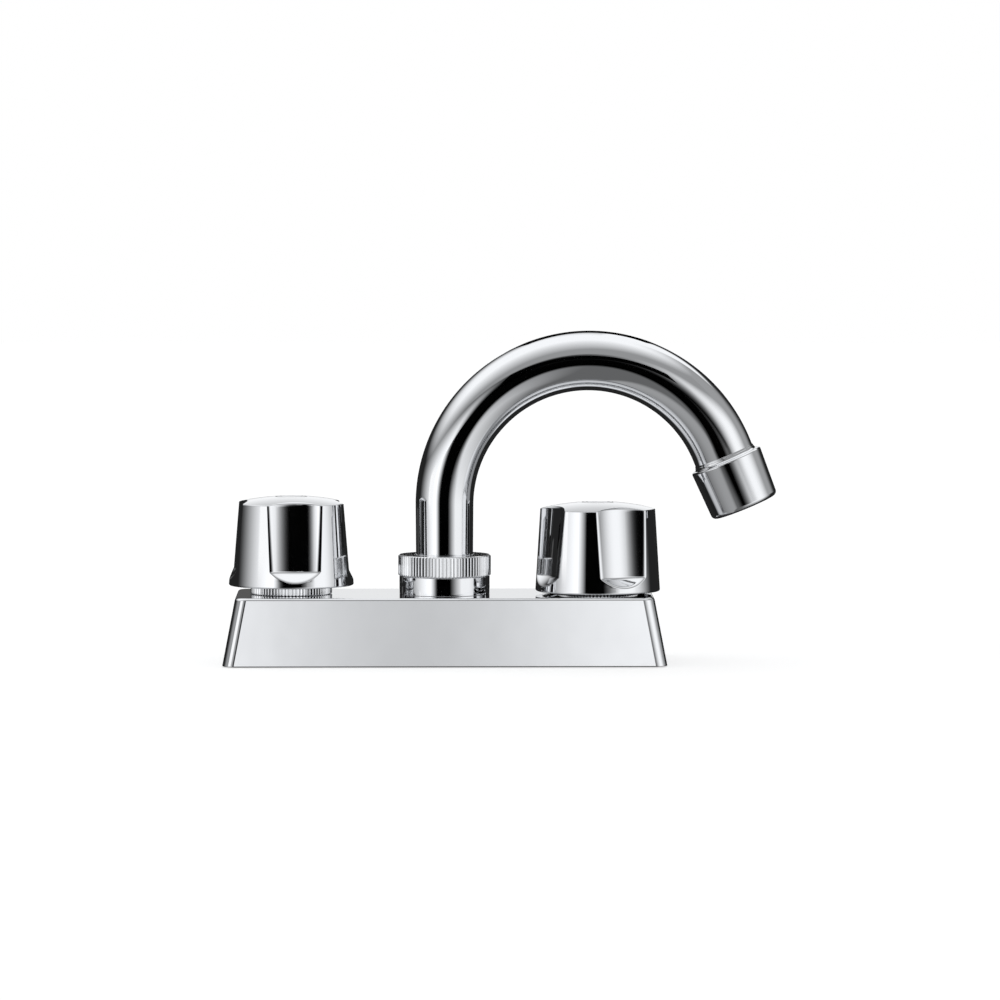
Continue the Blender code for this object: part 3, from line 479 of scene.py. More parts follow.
# %% Boss and nut
BOSS_RADIUS = 14.95
BOSS_BOTTOM = 22.55
BOSS_TOP = 28.6
NUT_CREST = 15.35
NUT_BOTTOM = 28.65
NUT_TOP = 35.5
NUT_LIP = 33.4
NUT_HOLE = 9.75
KNURL_DEPTH = 0.35

boss = rounded(
    [
        (BOSS_RADIUS, BOSS_BOTTOM, 0.08),
        (BOSS_RADIUS, BOSS_TOP, 0.35),
        (NECK_HOLE, BOSS_TOP, 0.1),
        (NECK_HOLE, BOSS_BOTTOM, 0.08),
    ]
)
put(lathe("spout_boss", boss), polished_chrome, "base", "spout_boss")


def knurled_ring(name, crest, grooves, bottom, top, chamfer, bore, per_groove=8):
    """A ring with straight grooves round it. The bore is an outline from the top down."""
    columns = grooves * per_groove
    angles = np.linspace(0.0, math.tau, columns, endpoint=False)
    ridge = np.abs(np.sin(angles * grooves / 2.0))
    knurl = crest - KNURL_DEPTH * (1.0 - ridge**1.4)
    rings = []
    levels = [(bottom, crest - 0.3), (bottom + 0.08, crest - 0.15), (bottom + 0.25, crest)]
    levels += [(bottom + 0.6, crest), (top - chamfer - 0.15, crest)]
    for step in range(7):
        share = step / 6
        levels.append((top - chamfer * (1 - share), crest - chamfer * share * (0.6 + 0.4 * share)))
    for height, limit in levels:
        radius = np.minimum(knurl, limit)
        rings.append((radius, np.full(columns, height)))
    for radius, height in bore:
        rings.append((np.full(columns, radius), np.full(columns, height)))
    points = [np.stack([r * np.cos(angles), r * np.sin(angles), z], axis=-1) * MM for r, z in rings]
    return skin(name, points, closed=True, sharp=50.0)


nut_bore = [(10.1, NUT_TOP), (9.85, NUT_TOP - 0.1), (NUT_HOLE, NUT_TOP - 0.35), (NUT_HOLE, NUT_LIP)]
nut_bore += [(NECK_HOLE, NUT_LIP), (NECK_HOLE, NUT_BOTTOM)]
nut = knurled_ring("spout_nut", NUT_CREST, 80, NUT_BOTTOM, NUT_TOP, 0.5, nut_bore)
put(nut, knurled_chrome, "base", "spout_nut")

# %% [markdown]
# ## Spout tube
# The spout is a drawn brass tube bent round a former: a short straight leg, an arch, and a straight
# end. A curve object with a bevel would do, but the tube widens a little along the arch, and its
# bore must stay open, so the rings are laid along the centre line one by one: outside first, then
# back down the inside. The skin closes on itself at both cut ends.

# %% Spout tube
TUBE_RADIUS = 9.45
TUBE_END_RADIUS = 10.1
TUBE_LEG_SWELL = 0.2
TUBE_WALL = 1.0
TUBE_BOTTOM = 34.7
ARCH_RADIUS = 47.7
ARCH_HEIGHT = 52.05
ARCH_END = math.radians(22.5)
HOUSING_OFFSET = 3.7
TUBE_TAIL = HOUSING_OFFSET + 3.7
TUBE_END = 1.98


def spout_point(travel):
    """Centre, sideways direction and swell of the tube at one place along it.

    The travel runs from -1 to 0 on the leg, from 0 to 1 on the arch and from 1 to 2 on the tail.
    """
    if travel < 0.0:
        height = ARCH_HEIGHT + (ARCH_HEIGHT - TUBE_BOTTOM) * travel
        return (0.0, height), (-1.0, 0.0), TUBE_LEG_SWELL * (1.0 + travel)
    angle = math.pi - min(travel, 1.0) * (math.pi - ARCH_END)
    out = (math.cos(angle), math.sin(angle))
    centre = (ARCH_RADIUS * (1.0 + out[0]), ARCH_HEIGHT + ARCH_RADIUS * out[1])
    swell = TUBE_LEG_SWELL + (1.0 - TUBE_LEG_SWELL) * min(travel, 1.0)
    if travel > 1.0:
        reach = (travel - 1.0) * TUBE_TAIL
        centre = (centre[0] + reach * math.sin(ARCH_END), centre[1] - reach * math.cos(ARCH_END))
    return centre, out, swell


def tube_ring(travel, inset, columns=112):
    """One ring of the tube in metres, stepped in by the inset in millimetres."""
    centre, out, swell = spout_point(travel)
    radius = TUBE_RADIUS + swell * (TUBE_END_RADIUS - TUBE_RADIUS) - inset
    angles = np.linspace(0.0, math.tau, columns, endpoint=False)
    along_x = centre[0] + radius * np.cos(angles) * out[0]
    along_z = centre[1] + radius * np.cos(angles) * out[1]
    return np.stack([along_x, radius * np.sin(angles), along_z], axis=-1) * MM


outside = [tube_ring(travel, 0.0) for travel in np.linspace(-1.0, 0.0, 14)]
outside += [tube_ring(travel, 0.0) for travel in np.linspace(0.0, 1.0, 170)[1:]]
outside += [tube_ring(travel, 0.0) for travel in (1.5, TUBE_END)]
inside = [tube_ring(travel, TUBE_WALL) for travel in (TUBE_END, 1.5)]
inside += [tube_ring(travel, TUBE_WALL) for travel in np.linspace(1.0, 0.0, 60)]
inside += [tube_ring(travel, TUBE_WALL) for travel in (-0.5, -1.0)]
put(skin("spout_tube", outside + inside), polished_chrome, "spout", "spout_tube")

# %% [markdown]
# ## Outlet housing and aerator
# The housing is turned, brazed to the tube's end, and leans with it by 22.5 degrees. Its collar
# sweeps into the tube in a small hollow curve, the shoulder is flat, and the bottom edge is well
# rounded, so water drips off cleanly. The aerator insert is a moulded cup with nine round holes in
# its floor. Both are turned on an upright axis and then leaned as one.

# %% Outlet housing and aerator
HOUSING_LENGTH = 17.0
HOUSING_BORE = 9.9
LEDGE_BORE = 7.5
INSERT_RADIUS = 9.6
HOLE_RADIUS = 1.7
HOLE_CIRCLE = 5.1
HOLES_ROUND = 8

end_centre, _, _ = spout_point(1.0)
housing_x = end_centre[0] + HOUSING_OFFSET * math.sin(ARCH_END)
housing_z = end_centre[1] - HOUSING_OFFSET * math.cos(ARCH_END)
leaned = Matrix.Translation((housing_x * MM, 0.0, housing_z * MM)) @ Matrix.Rotation(-ARCH_END, 4, "Y")
housing = rounded(
    [
        (10.4, 1.1, 0.0),
        (10.14, 1.3, 0.0),
        (10.14, 1.7, 0.0),
        (10.2, 1.7, 0.02),
        (10.7, 0.0, 0.85),
        (12.2, 0.0, 0.8),
        (11.5, -HOUSING_LENGTH, 1.5),
        (10.0, -HOUSING_LENGTH, 0.12),
        (HOUSING_BORE, -16.6, 0.1),
        (HOUSING_BORE, -5.5, 0.0),
        (LEDGE_BORE, -5.5, 0.0),
        (LEDGE_BORE, -4.0, 0.0),
        (10.4, -4.0, 0.0),
    ]
)
housing_mesh = lathe("aerator_housing", housing, 160)
housing_mesh.transform(leaned)
put(housing_mesh, polished_chrome, "spout", "aerator_housing")

insert = rounded(
    [
        (0.0, -16.2, 0.0),
        (INSERT_RADIUS, -16.2, 0.3),
        (INSERT_RADIUS, -7.7, 0.1),
        (LEDGE_BORE, -7.7, 0.1),
        (LEDGE_BORE, -14.2, 0.3),
        (0.0, -14.2, 0.0),
    ]
)
hole_outline = [(0.0, -10.0), (HOLE_RADIUS, -10.0), (HOLE_RADIUS, -20.0), (0.0, -20.0)]
holes = [lathe("outlet_hole", hole_outline, 32, closed=False)]
for number in range(1, HOLES_ROUND + 1):
    hole = lathe("outlet_hole", hole_outline, 32, closed=False)
    around = Matrix.Rotation(number * math.tau / HOLES_ROUND, 4, "Z")
    hole.transform(Matrix.Translation(around @ Vector((HOLE_CIRCLE * MM, 0.0, 0.0))))
    holes.append(hole)
aerator = carve(lathe("aerator_insert", insert, 96, closed=False), holes)
aerator.transform(leaned)
put(aerator, grey_acetal, "spout", "aerator_insert")

# %% [markdown]
# ## The knob's shape as a formula
# Each knob is a zinc casting: a tapered cup with a crowned top, and four scoops that fit a finger.
# A scoop is the mark of a round bar of 20 mm radius that leans in towards the top and ends below in
# a dome, and the dome leaves the scoop's small curved ledge. Cutting bars off a cone gives sharp
# edges that would need bevels. Here the side is one formula instead: at each height and angle the
# radius is the smaller of cone and scoop, and where the two nearly meet the formula blends them
# over 0.8 mm, which is the rounded edge that the polisher leaves.

# %% Side of the knob
KNOB_EDGE_HEIGHT = 27.3
KNOB_TOP_RADIUS = 19.05
KNOB_BOTTOM_RADIUS = 20.7
KNOB_CROWN = 2.3
SCOOP_RADIUS = 20.0
SCOOP_AXIS_TOP = 34.8
SCOOP_TILT = 0.102
SCOOP_FOOT = 5.3
DOME_RADIUS = 25.5
EDGE_BLEND = 0.8
LEDGE_BLEND = 0.5
CROWN_BALL = (KNOB_TOP_RADIUS**2 + KNOB_CROWN**2) / (2.0 * KNOB_CROWN)

scoop_lean = math.atan(SCOOP_TILT)
bar_end = SCOOP_FOOT + SCOOP_RADIUS * math.sin(scoop_lean)
dome_height = bar_end + math.sqrt(DOME_RADIUS**2 - SCOOP_RADIUS**2) * math.cos(scoop_lean)


def bar_axis(height):
    """Distance of the leaning bar's axis from the knob's own axis at this height."""
    return SCOOP_AXIS_TOP + (KNOB_EDGE_HEIGHT - height) * SCOOP_TILT


def cone_radius(height):
    """Radius of the plain tapered side."""
    return KNOB_BOTTOM_RADIUS + height / KNOB_EDGE_HEIGHT * (KNOB_TOP_RADIUS - KNOB_BOTTOM_RADIUS)


def blended_least(first, second, blend):
    """The smaller of two values, rounded where they come within the blend of each other."""
    near = np.maximum(blend - np.abs(first - second), 0.0) / blend
    return np.minimum(first, second) - near * near * blend / 4.0


def near_side(axis, radius, bearing):
    """Distance to the near side of a circle that stands off by the axis, or to its tangent beyond it."""
    return axis * np.cos(bearing) - np.sqrt(np.maximum(radius**2 - (axis * np.sin(bearing)) ** 2, 0.0))


def knob_radius(bearing, height):
    """Radius of the knob's side. The bearing is the angle from the nearest scoop's middle."""
    scoop = near_side(bar_axis(height), SCOOP_RADIUS, bearing)
    drop = np.minimum(height - dome_height, 0.0)
    dome = near_side(bar_axis(dome_height), np.sqrt(np.maximum(DOME_RADIUS**2 - drop**2, 0.0)), bearing)
    hollow_side = -blended_least(-scoop, -dome, LEDGE_BLEND)
    return blended_least(cone_radius(height), hollow_side, EDGE_BLEND)


def crown_height(radius):
    """Height of the crowned top at this distance from the axis."""
    return KNOB_EDGE_HEIGHT + KNOB_CROWN - CROWN_BALL + np.sqrt(CROWN_BALL**2 - radius**2)


scoop_depth = KNOB_TOP_RADIUS - float(knob_radius(np.array(0.0), np.array(26.0)))
print("a scoop is", round(scoop_depth, 2), "mm deep near the top")

# %% [markdown]
# ## Columns that follow the scoop's edges
# If the columns of points were evenly spaced, they would cross the scoop's edges in a zigzag, and
# the bright line on each edge would break up. So the columns are crowded round the bearing at which
# scoop and cone meet, and that bearing is found anew for every height. On the ledge the dome's own
# circle takes the place of the bar's, and it closes in to nothing at the ledge's lowest point.

# %% Columns round the knob
CROWD = math.radians(3.2)
LEAST_EDGE = math.radians(7.0)


def meeting_bearing(cone, axis, radius):
    """Bearing at which a circle that stands off by the axis meets the cone, or 0 if it stays outside."""
    return math.acos(min((cone**2 + axis**2 - radius**2) / (2.0 * cone * axis), 1.0))


def scoop_edge(height):
    """Bearing at which the scoop, or its ledge, meets the cone at this height."""
    wall = meeting_bearing(cone_radius(height), bar_axis(height), SCOOP_RADIUS)
    reach = math.sqrt(DOME_RADIUS**2 - min(height - dome_height, 0.0) ** 2)
    return min(wall, meeting_bearing(cone_radius(height), bar_axis(dome_height), reach))


def bearings(height):
    """Bearings across one quarter of the knob, from one lobe's middle to the next."""
    edge = max(scoop_edge(height), LEAST_EDGE)
    half = np.concatenate(
        [
            np.linspace(0.0, edge - CROWD, 19)[:-1],
            np.linspace(edge - CROWD, edge + CROWD, 21)[:-1],
            np.linspace(edge + CROWD, math.pi / 4, 11),
        ]
    )
    return np.concatenate([-half[::-1], half[1:-1]])


print("columns round a knob:", 4 * len(bearings(10.0)))

# %% [markdown]
# ## The whole skin of a knob
# The skin starts in the recess for the index button, runs out over the crown, rounds the top edge,
# goes down the side, and turns in under the skirt. The buffing wheel takes more off over a scoop,
# so the top edge's radius grows from 0.35 mm on the lobes to 1.1 mm at a scoop's middle. Inside,
# plain steps leave room for the bonnet and the spindle. The top edge is laid out from its own arc's
# centre, found by a few rounds of correction, because crown and side lean differently at every
# bearing.

# %% Knob
TOP_EDGE_LOBE = 0.35
TOP_EDGE_SCOOP = 1.1
PROBE = 0.05
FOOT_EDGE = 0.5
LEDGE_TOP = 6.4
BUTTON_RECESS = 5.2
BUTTON_FLOOR = KNOB_EDGE_HEIGHT + 0.7
CAVITY_TOP = KNOB_EDGE_HEIGHT - 12.0
CAVITY_RADIUS = 12.0
STEM_RADIUS = 7.0
STEM_FOOT = 9.0
SOCKET_RADIUS = 4.2
SOCKET_TOP = KNOB_EDGE_HEIGHT - 7.0
SCREW_HOLE = 2.4
SCREW_SEAT = KNOB_EDGE_HEIGHT - 3.3


def top_edge(bearing):
    """Radius and centre of the top edge's arc, the angles where it starts and ends, and its foot."""
    depth = KNOB_TOP_RADIUS - knob_radius(bearing, np.full_like(bearing, KNOB_EDGE_HEIGHT - 1.0))
    share = np.clip(depth / scoop_depth, 0.0, 1.0)
    edge = TOP_EDGE_LOBE + share * (TOP_EDGE_SCOOP - TOP_EDGE_LOBE)
    height = np.full_like(bearing, KNOB_EDGE_HEIGHT - 0.5)
    for _ in range(6):
        side = knob_radius(bearing, height)
        fall_in = knob_radius(bearing, height - PROBE) - knob_radius(bearing, height + PROBE)
        lean = np.arctan(fall_in / (2.0 * PROBE))
        centre = side - edge * np.cos(lean)
        fall = np.arctan(centre / np.sqrt(CROWN_BALL**2 - centre**2))
        level = crown_height(centre + edge * np.sin(fall)) - edge * np.cos(fall)
        height = level + edge * np.sin(lean)
    return edge, centre, level, lean, math.pi / 2 - fall, height


def knob_mesh(name, facing):
    """The knob's skin, with one scoop's middle facing this way."""
    quarter = bearings(KNOB_EDGE_HEIGHT)
    edge, centre, level, start, stop, _ = top_edge(quarter)
    rows = []
    crown_foot = centre + edge * np.cos(stop)
    for share in np.linspace(0.0, 1.0, 13)[1:]:
        radius = BUTTON_RECESS + 0.15 + share * (crown_foot - BUTTON_RECESS - 0.15)
        rows.append((quarter, radius, crown_height(radius)))
    for share in np.linspace(0.0, 1.0, 11)[1:]:
        turn = stop + share * (start - stop)
        rows.append((quarter, centre + edge * np.cos(turn), level + edge * np.sin(turn)))
    for share in np.linspace(1.0, 0.0, 25)[1:]:
        here = bearings(LEDGE_TOP + share * (KNOB_EDGE_HEIGHT - LEDGE_TOP))
        height = LEDGE_TOP + share * (top_edge(here)[5] - LEDGE_TOP)
        rows.append((here, knob_radius(here, height), height))
    for low in [*np.linspace(LEDGE_TOP, 1.6, 56)[1:], 1.2, 0.8, FOOT_EDGE]:
        here = bearings(low)
        height = np.full_like(here, low)
        rows.append((here, knob_radius(here, height), height))
    for share in np.linspace(0.0, 1.0, 6)[1:]:
        turn = share * math.pi / 2
        radius = KNOB_BOTTOM_RADIUS - 0.03 - FOOT_EDGE * (1 - math.cos(turn))
        low = FOOT_EDGE * (1 - math.sin(turn))
        rows.append((here, np.full_like(here, radius), np.full_like(here, low)))
    inside = [(18.4, 0.0), (18.3, 0.1), (18.0, 1.5), (14.3, 5.2), (CAVITY_RADIUS, 5.6)]
    inside += [(CAVITY_RADIUS, CAVITY_TOP), (STEM_RADIUS, CAVITY_TOP), (STEM_RADIUS, STEM_FOOT)]
    inside += [(SOCKET_RADIUS, STEM_FOOT), (SOCKET_RADIUS, SOCKET_TOP), (SCREW_HOLE, SOCKET_TOP)]
    inside += [(SCREW_HOLE, SCREW_SEAT), (SOCKET_RADIUS, SCREW_SEAT), (SOCKET_RADIUS, BUTTON_FLOOR)]
    crown_rim = float(crown_height(np.array(BUTTON_RECESS)))
    inside += [(BUTTON_RECESS, BUTTON_FLOOR), (BUTTON_RECESS, crown_rim - 0.15)]
    inside += [(BUTTON_RECESS + 0.04, crown_rim - 0.05), (BUTTON_RECESS + 0.15, crown_rim)]
    for radius, height in inside:
        rows.append((here, np.full_like(here, radius), np.full_like(here, height)))
    points = []
    for bearing, radius, height in rows:
        around = np.concatenate([bearing + facing + number * math.pi / 2 for number in range(4)])
        radius = np.tile(radius, 4)
        height = np.tile(height, 4)
        points.append(np.stack([radius * np.cos(around), radius * np.sin(around), height], axis=-1) * MM)
    return skin(name, points, closed=True, sharp=45.0)


# %% [markdown]
# ## Knobs in place
# Both knobs are the same casting. The left valve is one turn open, so its spindle, and the knob
# with it, stands 2 mm higher, and the two knobs face differently, as they were left by the hand
# that turned them last.

# %% Both knobs, their index buttons and lock rings
KNOB_BASE = 23.4
BUTTON_RADIUS = 4.9
BUTTON_BOTTOM = BUTTON_FLOOR + 0.3
LOCK_CREST = 13.5
LOCK_GROOVES = 72
LOCK_TOP = 27.2
VALVES = {
    "left": {"across": -VALVE_SPACING / 2, "rise": 2.0, "turn": 5.3},
    "right": {"across": VALVE_SPACING / 2, "rise": 0.0, "turn": 25.3},
}

button_rim = float(crown_height(np.array(BUTTON_RADIUS)))
button = [(radius, float(crown_height(np.array(radius)))) for radius in (0.0, 1.0, 2.0, 2.8, 3.4, 3.55)]
button += [(3.6, button[-1][1] - 0.06), (3.75, button[-1][1] - 0.08), (3.9, button[-1][1] - 0.08)]
button += [(radius, float(crown_height(np.array(radius)))) for radius in (3.95, 4.3, 4.65)]
button += [(4.8, button_rim - 0.04), (4.87, button_rim - 0.1), (BUTTON_RADIUS, button_rim - 0.2)]
button += [(BUTTON_RADIUS, BUTTON_BOTTOM), (0.0, BUTTON_BOTTOM)]
lock_bore = [(11.5, LOCK_TOP), (BARREL_HOLE, LOCK_TOP - 0.2), (BARREL_HOLE, BOSS_BOTTOM)]

for side, valve in VALVES.items():
    place = Matrix.Translation((valve["across"] * MM, 0.0, (KNOB_BASE + valve["rise"]) * MM))
    facing = math.radians(valve["turn"]) - math.pi / 2
    knob = knob_mesh(side + "_knob", facing)
    put(knob, polished_chrome, side + "_handle", side + "_knob", place)
    disc = lathe(side + "_index_button", button, 96, closed=False)
    put(disc, satin_chrome, side + "_handle", side + "_index_button", place)
    ring_name = side + "_lock_ring"
    lock = knurled_ring(ring_name, LOCK_CREST, LOCK_GROOVES, BOSS_BOTTOM, LOCK_TOP, 0.3, lock_bore)
    on_axis = Matrix.Translation((valve["across"] * MM, 0.0, 0.0))
    put(lock, knurled_chrome, "base", ring_name, on_axis)

# %% [markdown]
# ## Materials of the inner pieces
# The pieces inside keep their solids, because they are only seen from below or with a knob taken
# off. Each is given the material it is really made of.

# %% Materials of the inner pieces
INNER = {
    "waterway": cast_brass,
    "spout_ferrule": turned_brass,
    "spout_snap_ring": tumbled_steel,
    "spout_o_ring_lower": black_rubber,
    "spout_o_ring_upper": black_rubber,
    "aerator_washer": black_rubber,
    "base_gasket": black_rubber,
}
for side in VALVES:
    INNER[side + "_bonnet"] = turned_brass
    INNER[side + "_spindle"] = turned_brass
    INNER[side + "_jumper"] = turned_brass
    INNER[side + "_seat_washer"] = black_rubber
    INNER[side + "_spindle_o_ring"] = black_rubber
    INNER[side + "_knob_screw"] = tumbled_steel
    INNER[side + "_washer_screw"] = tumbled_steel
for node, material in INNER.items():
    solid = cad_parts[node]
    solid.data.materials.clear()
    solid.data.materials.append(material)
print("inner pieces with a material:", len(INNER))

# %% [markdown]
# ## The studio
# Chrome is photographed by choosing what it reflects. The studio is drawn straight into the world
# by direction, so it is the same for every piece. Azimuth is 0 towards the camera and grows to the
# right of the picture. The camera itself sees plain white, through Light Path, where a strength of
# 1 is white. First come the directions and three helpers that the lights are made with.

# %% Directions of the studio
scene = bpy.context.scene
world = bpy.data.worlds.new("studio")
scene.world = world
world.use_nodes = True
studio = world.node_tree
studio.nodes.clear()
direction = add_node(studio, "ShaderNodeTexCoord").outputs["Generated"]
parts = add_node(studio, "ShaderNodeSeparateXYZ", links={"Vector": direction})


def reckon(operation, first, second=None):
    """One sum on directions or light levels. The second term is a plain number or another level."""
    if isinstance(second, float):
        node = add_node(studio, "ShaderNodeMath", {1: second}, {0: first}, operation=operation)
    elif second is None:
        node = add_node(studio, "ShaderNodeMath", links={0: first}, operation=operation)
    else:
        node = add_node(studio, "ShaderNodeMath", links={0: first, 1: second}, operation=operation)
    return node.outputs["Value"]


def fade(source, start, stop, low, high, easing="SMOOTHSTEP"):
    """A light level that goes from low to high as a direction's number goes from start to stop."""
    return add_node(
        studio,
        "ShaderNodeMapRange",
        {"From Min": start, "From Max": stop, "To Min": low, "To Max": high},
        {"Value": source},
        interpolation_type=easing,
    ).outputs["Result"]


def combine(operation, first, *others):
    """Light levels multiplied together, or the brightest of them."""
    for other in others:
        first = reckon(operation, first, other)
    return first


toward = reckon("MULTIPLY", parts.outputs["Y"], -1.0)
azimuth = reckon("DEGREES", reckon("ARCTAN2", parts.outputs["X"], toward))
elevation = reckon("DEGREES", reckon("ARCSINE", parts.outputs["Z"]))
aside = reckon("ABSOLUTE", azimuth)
print("direction nodes:", len(studio.nodes))

# %% [markdown]
# ## Lights of the studio
# A large round light hangs overhead, a little to the left, and falls off towards the camera. Round
# it the ceiling is mid grey down to 25 degrees, and a window stands high at the back on the right.
# An upright softbox stands on each side. The right one is wider and lights the table in front of
# it, and its inner edge fades out where a black card leans towards the lens. The table is dark
# grey, and the room behind is nearly black.

# %% Lights
overhead_centre = (-0.26, -0.05, 0.965)
overhead_nearness = add_node(
    studio, "ShaderNodeVectorMath", {1: overhead_centre}, {0: direction}, operation="DOT_PRODUCT"
).outputs["Value"]
overhead = combine(
    "MULTIPLY",
    fade(overhead_nearness, 0.34, 0.86, 0.0, 1.0),
    fade(toward, 0.0, 0.75, 1.18, 0.36, "LINEAR"),
)
ceiling = combine("MULTIPLY", fade(elevation, 23, 29, 0.0, 1.0), fade(aside, 122, 148, 0.36, 0.02))
WINDOW_AZIMUTH = 150.0
window_aside = reckon("ABSOLUTE", reckon("SUBTRACT", azimuth, WINDOW_AZIMUTH))
window = combine("MULTIPLY", fade(elevation, 28, 38, 0.0, 1.0), fade(window_aside, 19, 29, 1.17, 0.0))

left_softbox = combine(
    "MULTIPLY",
    fade(azimuth, -122, -34, 0.0, 1.35),
    fade(azimuth, -30, -12, 1.0, 0.0),
    fade(elevation, 4, 32, 1.0, 0.0),
    fade(elevation, -13, -7, 0.29, 1.0),
)
right_softbox = combine(
    "MULTIPLY",
    fade(azimuth, -5, 30, 0.0, 1.17, "LINEAR"),
    fade(azimuth, 62, 119, 1.0, 0.0),
    fade(elevation, 23, 48, 1.0, 0.0),
    fade(elevation, -70, 0, 0.0, 1.0, "LINEAR"),
)
black_card = combine(
    "MULTIPLY",
    fade(aside, 14, 56, 1.0, 0.0),
    fade(elevation, 0, 6, 0.0, 1.0),
    fade(elevation, 4, 42, 1.0, 0.0),
)
right_softbox = combine("MULTIPLY", right_softbox, fade(black_card, 0.0, 1.0, 1.0, 0.0, "LINEAR"))
side_wall = combine(
    "MULTIPLY",
    fade(azimuth, 60, 80, 0.0, 1.0),
    fade(azimuth, 112, 150, 0.4, 0.0),
    fade(elevation, 7, 14, 0.0, 1.0),
)
table = combine("MULTIPLY", fade(elevation, -15, -8, 1.0, 0.0), fade(aside, 95, 125, 0.15, 0.0))
room = fade(aside, 60, 110, 0.0, 0.02)
print("the overhead light hangs in the direction", overhead_centre)

# %% [markdown]
# Two narrow lights serve the flat faces. The body's front leans back, so it mirrors a spot 18
# degrees above the camera: a strip there is dimmer in its middle, as the front is in the picture.
# The body's top and the knobs' crowns mirror the white sweep low behind the tap.

# %% Strips for the flat faces, and the finished world
front_strip = combine(
    "MULTIPLY",
    fade(elevation, 15.5, 16.5, 0.0, 1.0),
    fade(elevation, 20.0, 21.0, 1.0, 0.0),
    fade(aside, 0, 2.6, 0.68, 1.15),
    fade(aside, 3, 9, 1.0, 0.0),
)
sweep = combine(
    "MULTIPLY",
    fade(elevation, -1.5, 2.0, 0.0, 1.0),
    fade(elevation, 3, 9, 0.84, 1.04),
    fade(elevation, 9, 34, 1.0, 0.62),
    fade(aside, 168, 173, 0.0, 1.0),
)
high_lights = (overhead, ceiling, window)
side_lights = (left_softbox, right_softbox, side_wall)
low_lights = (table, room, front_strip, sweep)
light = combine("MAXIMUM", *high_lights, *side_lights, *low_lights)

seen_by_camera = add_node(studio, "ShaderNodeLightPath").outputs["Is Camera Ray"]
lit = add_node(studio, "ShaderNodeBackground", links={"Strength": light})
lit.inputs["Color"].default_value = linear("#FDFEFF")
white = add_node(studio, "ShaderNodeBackground", {"Color": linear("#FFFFFF"), "Strength": 1.0})
backdrop = add_node(
    studio,
    "ShaderNodeMixShader",
    links={0: seen_by_camera, 1: lit.outputs["Background"], 2: white.outputs["Background"]},
)
add_node(studio, "ShaderNodeOutputWorld", links={"Surface": backdrop.outputs["Shader"]})
print("world nodes:", len(studio.nodes))

# %% [markdown]
# ## Cards near the tap
# What stands near the tap must be a real object, because each piece sees it from its own place. A
# wide black card stands 0.56 m in front, below the lens, and thins out towards both ends, so the
# softboxes fade in from behind it. A small white card lights the body's left corner. Four dark
# flags, as a photographer would hang them, keep light off single spots: one hides the front strip
# from the arch, one hides the white sweep from the arch's top, which gives it a thin dark outline,
# one darkens the nut's flat top, and a grey one dims the left end of the body's flat top. Only
# mirror rays find these cards.


# %% Cards
def card_shader(tree, glow):
    """The face of a card: black cloth, or paper lit to the given level."""
    if glow > 0.0:
        return add_node(tree, "ShaderNodeEmission", {"Strength": glow}).outputs["Emission"]
    return add_node(tree, "ShaderNodeBsdfDiffuse", {"Color": linear("#050505")}).outputs["BSDF"]


def add_card(name, low, high, along, thinning=(), glow=0.0):
    """An upright card between two corners, across and up in millimetres.

    Each thinning names an axis, the place where the card is solid and the place where it is clear.
    """
    mesh = bpy.data.meshes.new(name)
    corners = [low, (high[0], low[1]), high, (low[0], high[1])]
    mesh.from_pydata([(x * MM, along * MM, z * MM) for x, z in corners], [], [(0, 1, 2, 3)])
    cloth = bpy.data.materials.new(name + "_face")
    cloth.use_nodes = True
    tree = cloth.node_tree
    tree.nodes.clear()
    face = card_shader(tree, glow)
    place = add_node(tree, "ShaderNodeTexCoord").outputs["Object"]
    where = add_node(tree, "ShaderNodeSeparateXYZ", links={"Vector": place})
    clear = add_node(tree, "ShaderNodeBsdfTransparent").outputs["BSDF"]
    for axis, solid_at, clear_at in thinning:
        thin = spread(tree, where.outputs[axis], 0.0, 1.0, solid_at * MM, clear_at * MM)
        face = add_node(tree, "ShaderNodeMixShader", links={0: thin, 1: face, 2: clear}).outputs["Shader"]
    add_node(tree, "ShaderNodeOutputMaterial", links={"Surface": face})
    mesh.materials.append(cloth)
    card = bpy.data.objects.new(name, mesh)
    scene.collection.objects.link(card)
    card.visible_camera = False
    card.visible_diffuse = False
    card.visible_shadow = False
    card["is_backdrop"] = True
    direction_word = "in front of" if along < 0.0 else "behind"
    print(name, "stands", abs(along), "mm", direction_word, "the spout's axis")


add_card(
    "front_card",
    (-410.0, -130.0),
    (530.0, 155.0),
    -560.0,
    [("X", -190.0, -400.0), ("X", 140.0, 520.0), ("Z", -50.0, -120.0)],
)
add_card(
    "corner_card",
    (-255.0, 30.0),
    (-120.0, 100.0),
    -105.0,
    [("X", -225.0, -255.0), ("X", -135.0, -120.0), ("Z", 85.0, 100.0), ("Z", 42.0, 30.0)],
    glow=1.2,
)
add_card("arch_front_flag", (5.0, 108.0), (92.0, 121.5), -60.0)
add_card("arch_back_flag", (15.0, 110.0), (80.0, 138.0), 30.0)
add_card("nut_back_flag", (-17.0, 37.5), (17.0, 46.0), 60.0)
add_card("body_back_flag", (-82.0, 20.0), (-65.5, 45.0), 60.0, glow=0.1)

# %% [markdown]
# ## Floor
# The floor is matt white paint on board. Two fifths of what the camera sees of it is real light,
# which keeps the tap's soft shadow, and the rest is a glow that only camera rays find, which brings
# the clear floor up to the white of the backdrop. The floor hides from mirror rays, so the chrome
# sees the studio's grey table instead of an endless white plane.

# %% Floor
FLOOR_HALF = 3.0
FLOOR_LEVEL = -0.05 * MM
FLOOR_GLOW = 0.61

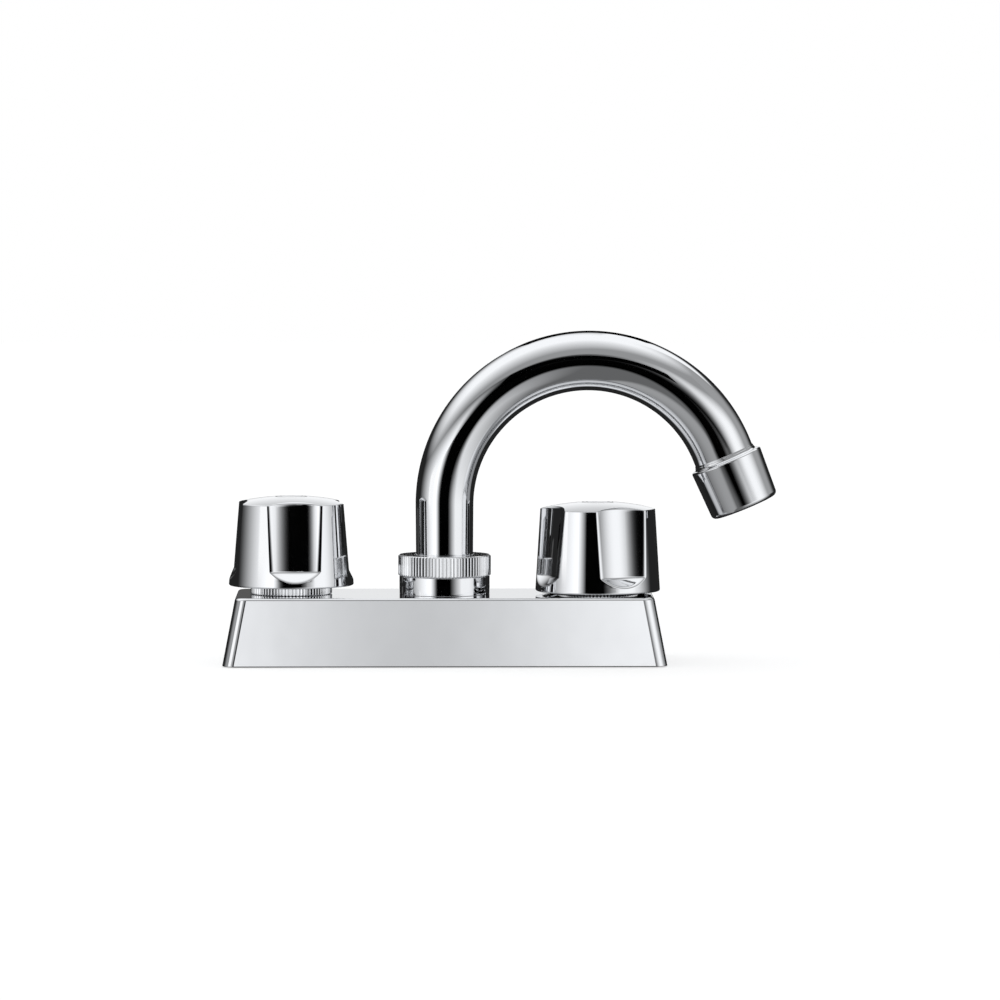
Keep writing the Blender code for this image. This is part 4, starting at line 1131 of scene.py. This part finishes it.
floor_mesh = bpy.data.meshes.new("floor")
corners = [(x * FLOOR_HALF, y * FLOOR_HALF, FLOOR_LEVEL) for x, y in ((-1, -1), (1, -1), (1, 1), (-1, 1))]
floor_mesh.from_pydata(corners, [], [(0, 1, 2, 3)])
floor = bpy.data.objects.new("floor", floor_mesh)
scene.collection.objects.link(floor)
white_board = bpy.data.materials.new("white_painted_board")
white_board.use_nodes = True
board = white_board.node_tree
board.nodes.clear()
board_place = add_node(board, "ShaderNodeTexCoord").outputs["Object"]
paint = two_tones(board, noise(board, board_place, 30.0, 2.0), "#C6C6C6", "#C9C9C9")
matt = add_node(board, "ShaderNodeBsdfDiffuse", links={"Color": paint})
camera_ray = add_node(board, "ShaderNodeLightPath").outputs["Is Camera Ray"]
glow_level = add_node(board, "ShaderNodeMath", {1: FLOOR_GLOW}, {0: camera_ray}, operation="MULTIPLY")
glow = add_node(board, "ShaderNodeEmission", links={"Strength": glow_level.outputs["Value"]})
layers = {0: matt.outputs["BSDF"], 1: glow.outputs["Emission"]}
both = add_node(board, "ShaderNodeAddShader", links=layers)
add_node(board, "ShaderNodeOutputMaterial", links={"Surface": both.outputs["Shader"]})
floor_mesh.materials.append(white_board)
floor.visible_glossy = False
floor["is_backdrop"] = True
print("floor side:", 2 * FLOOR_HALF, "m")

# %% [markdown]
# ## Camera
# The picture was taken with a long lens from 2 m away, a little above the tap and a hair to the
# left of it. Such a lens keeps the body's edges nearly parallel. The camera aims at the middle of
# the object in the frame, so no lens shift is needed.

# %% Camera
CAMERA_AIM = Vector((18.4, 0.0, 53.5)) * MM
CAMERA_DISTANCE = 2.0
CAMERA_RISE = math.radians(3.5)
CAMERA_SIDE = math.radians(-0.8)
back = Vector(
    (
        math.sin(CAMERA_SIDE) * math.cos(CAMERA_RISE),
        -math.cos(CAMERA_SIDE) * math.cos(CAMERA_RISE),
        math.sin(CAMERA_RISE),
    )
)
camera_data = bpy.data.cameras.new("camera")
camera_data.lens = 217.2
camera_data.clip_start = 0.1
camera_data.clip_end = 20.0
camera = bpy.data.objects.new("camera", camera_data)
scene.collection.objects.link(camera)
camera.location = CAMERA_AIM + back * CAMERA_DISTANCE
camera.rotation_mode = "QUATERNION"
camera.rotation_quaternion = (-back).to_track_quat("-Z", "Y")
scene.camera = camera
scene.view_settings.view_transform = "Standard"
print("camera at", tuple(round(value, 3) for value in camera.location))

# %% [markdown]
# ## Sizes, and the end
# The last cell measures how far the fine pieces reach past the box of the solids, in millimetres.
# The fine pieces must keep to the box of the solids, to within a fraction of a millimetre.

# %% Sizes and finish
NEW_LOW, NEW_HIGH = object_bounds()
growth = [round((low + high) / MM, 2) for low, high in zip(CAD_LOW - NEW_LOW, NEW_HIGH - CAD_HIGH)]
print("the visual box is wider, deeper and higher than the solids' box by, in mm:", growth)
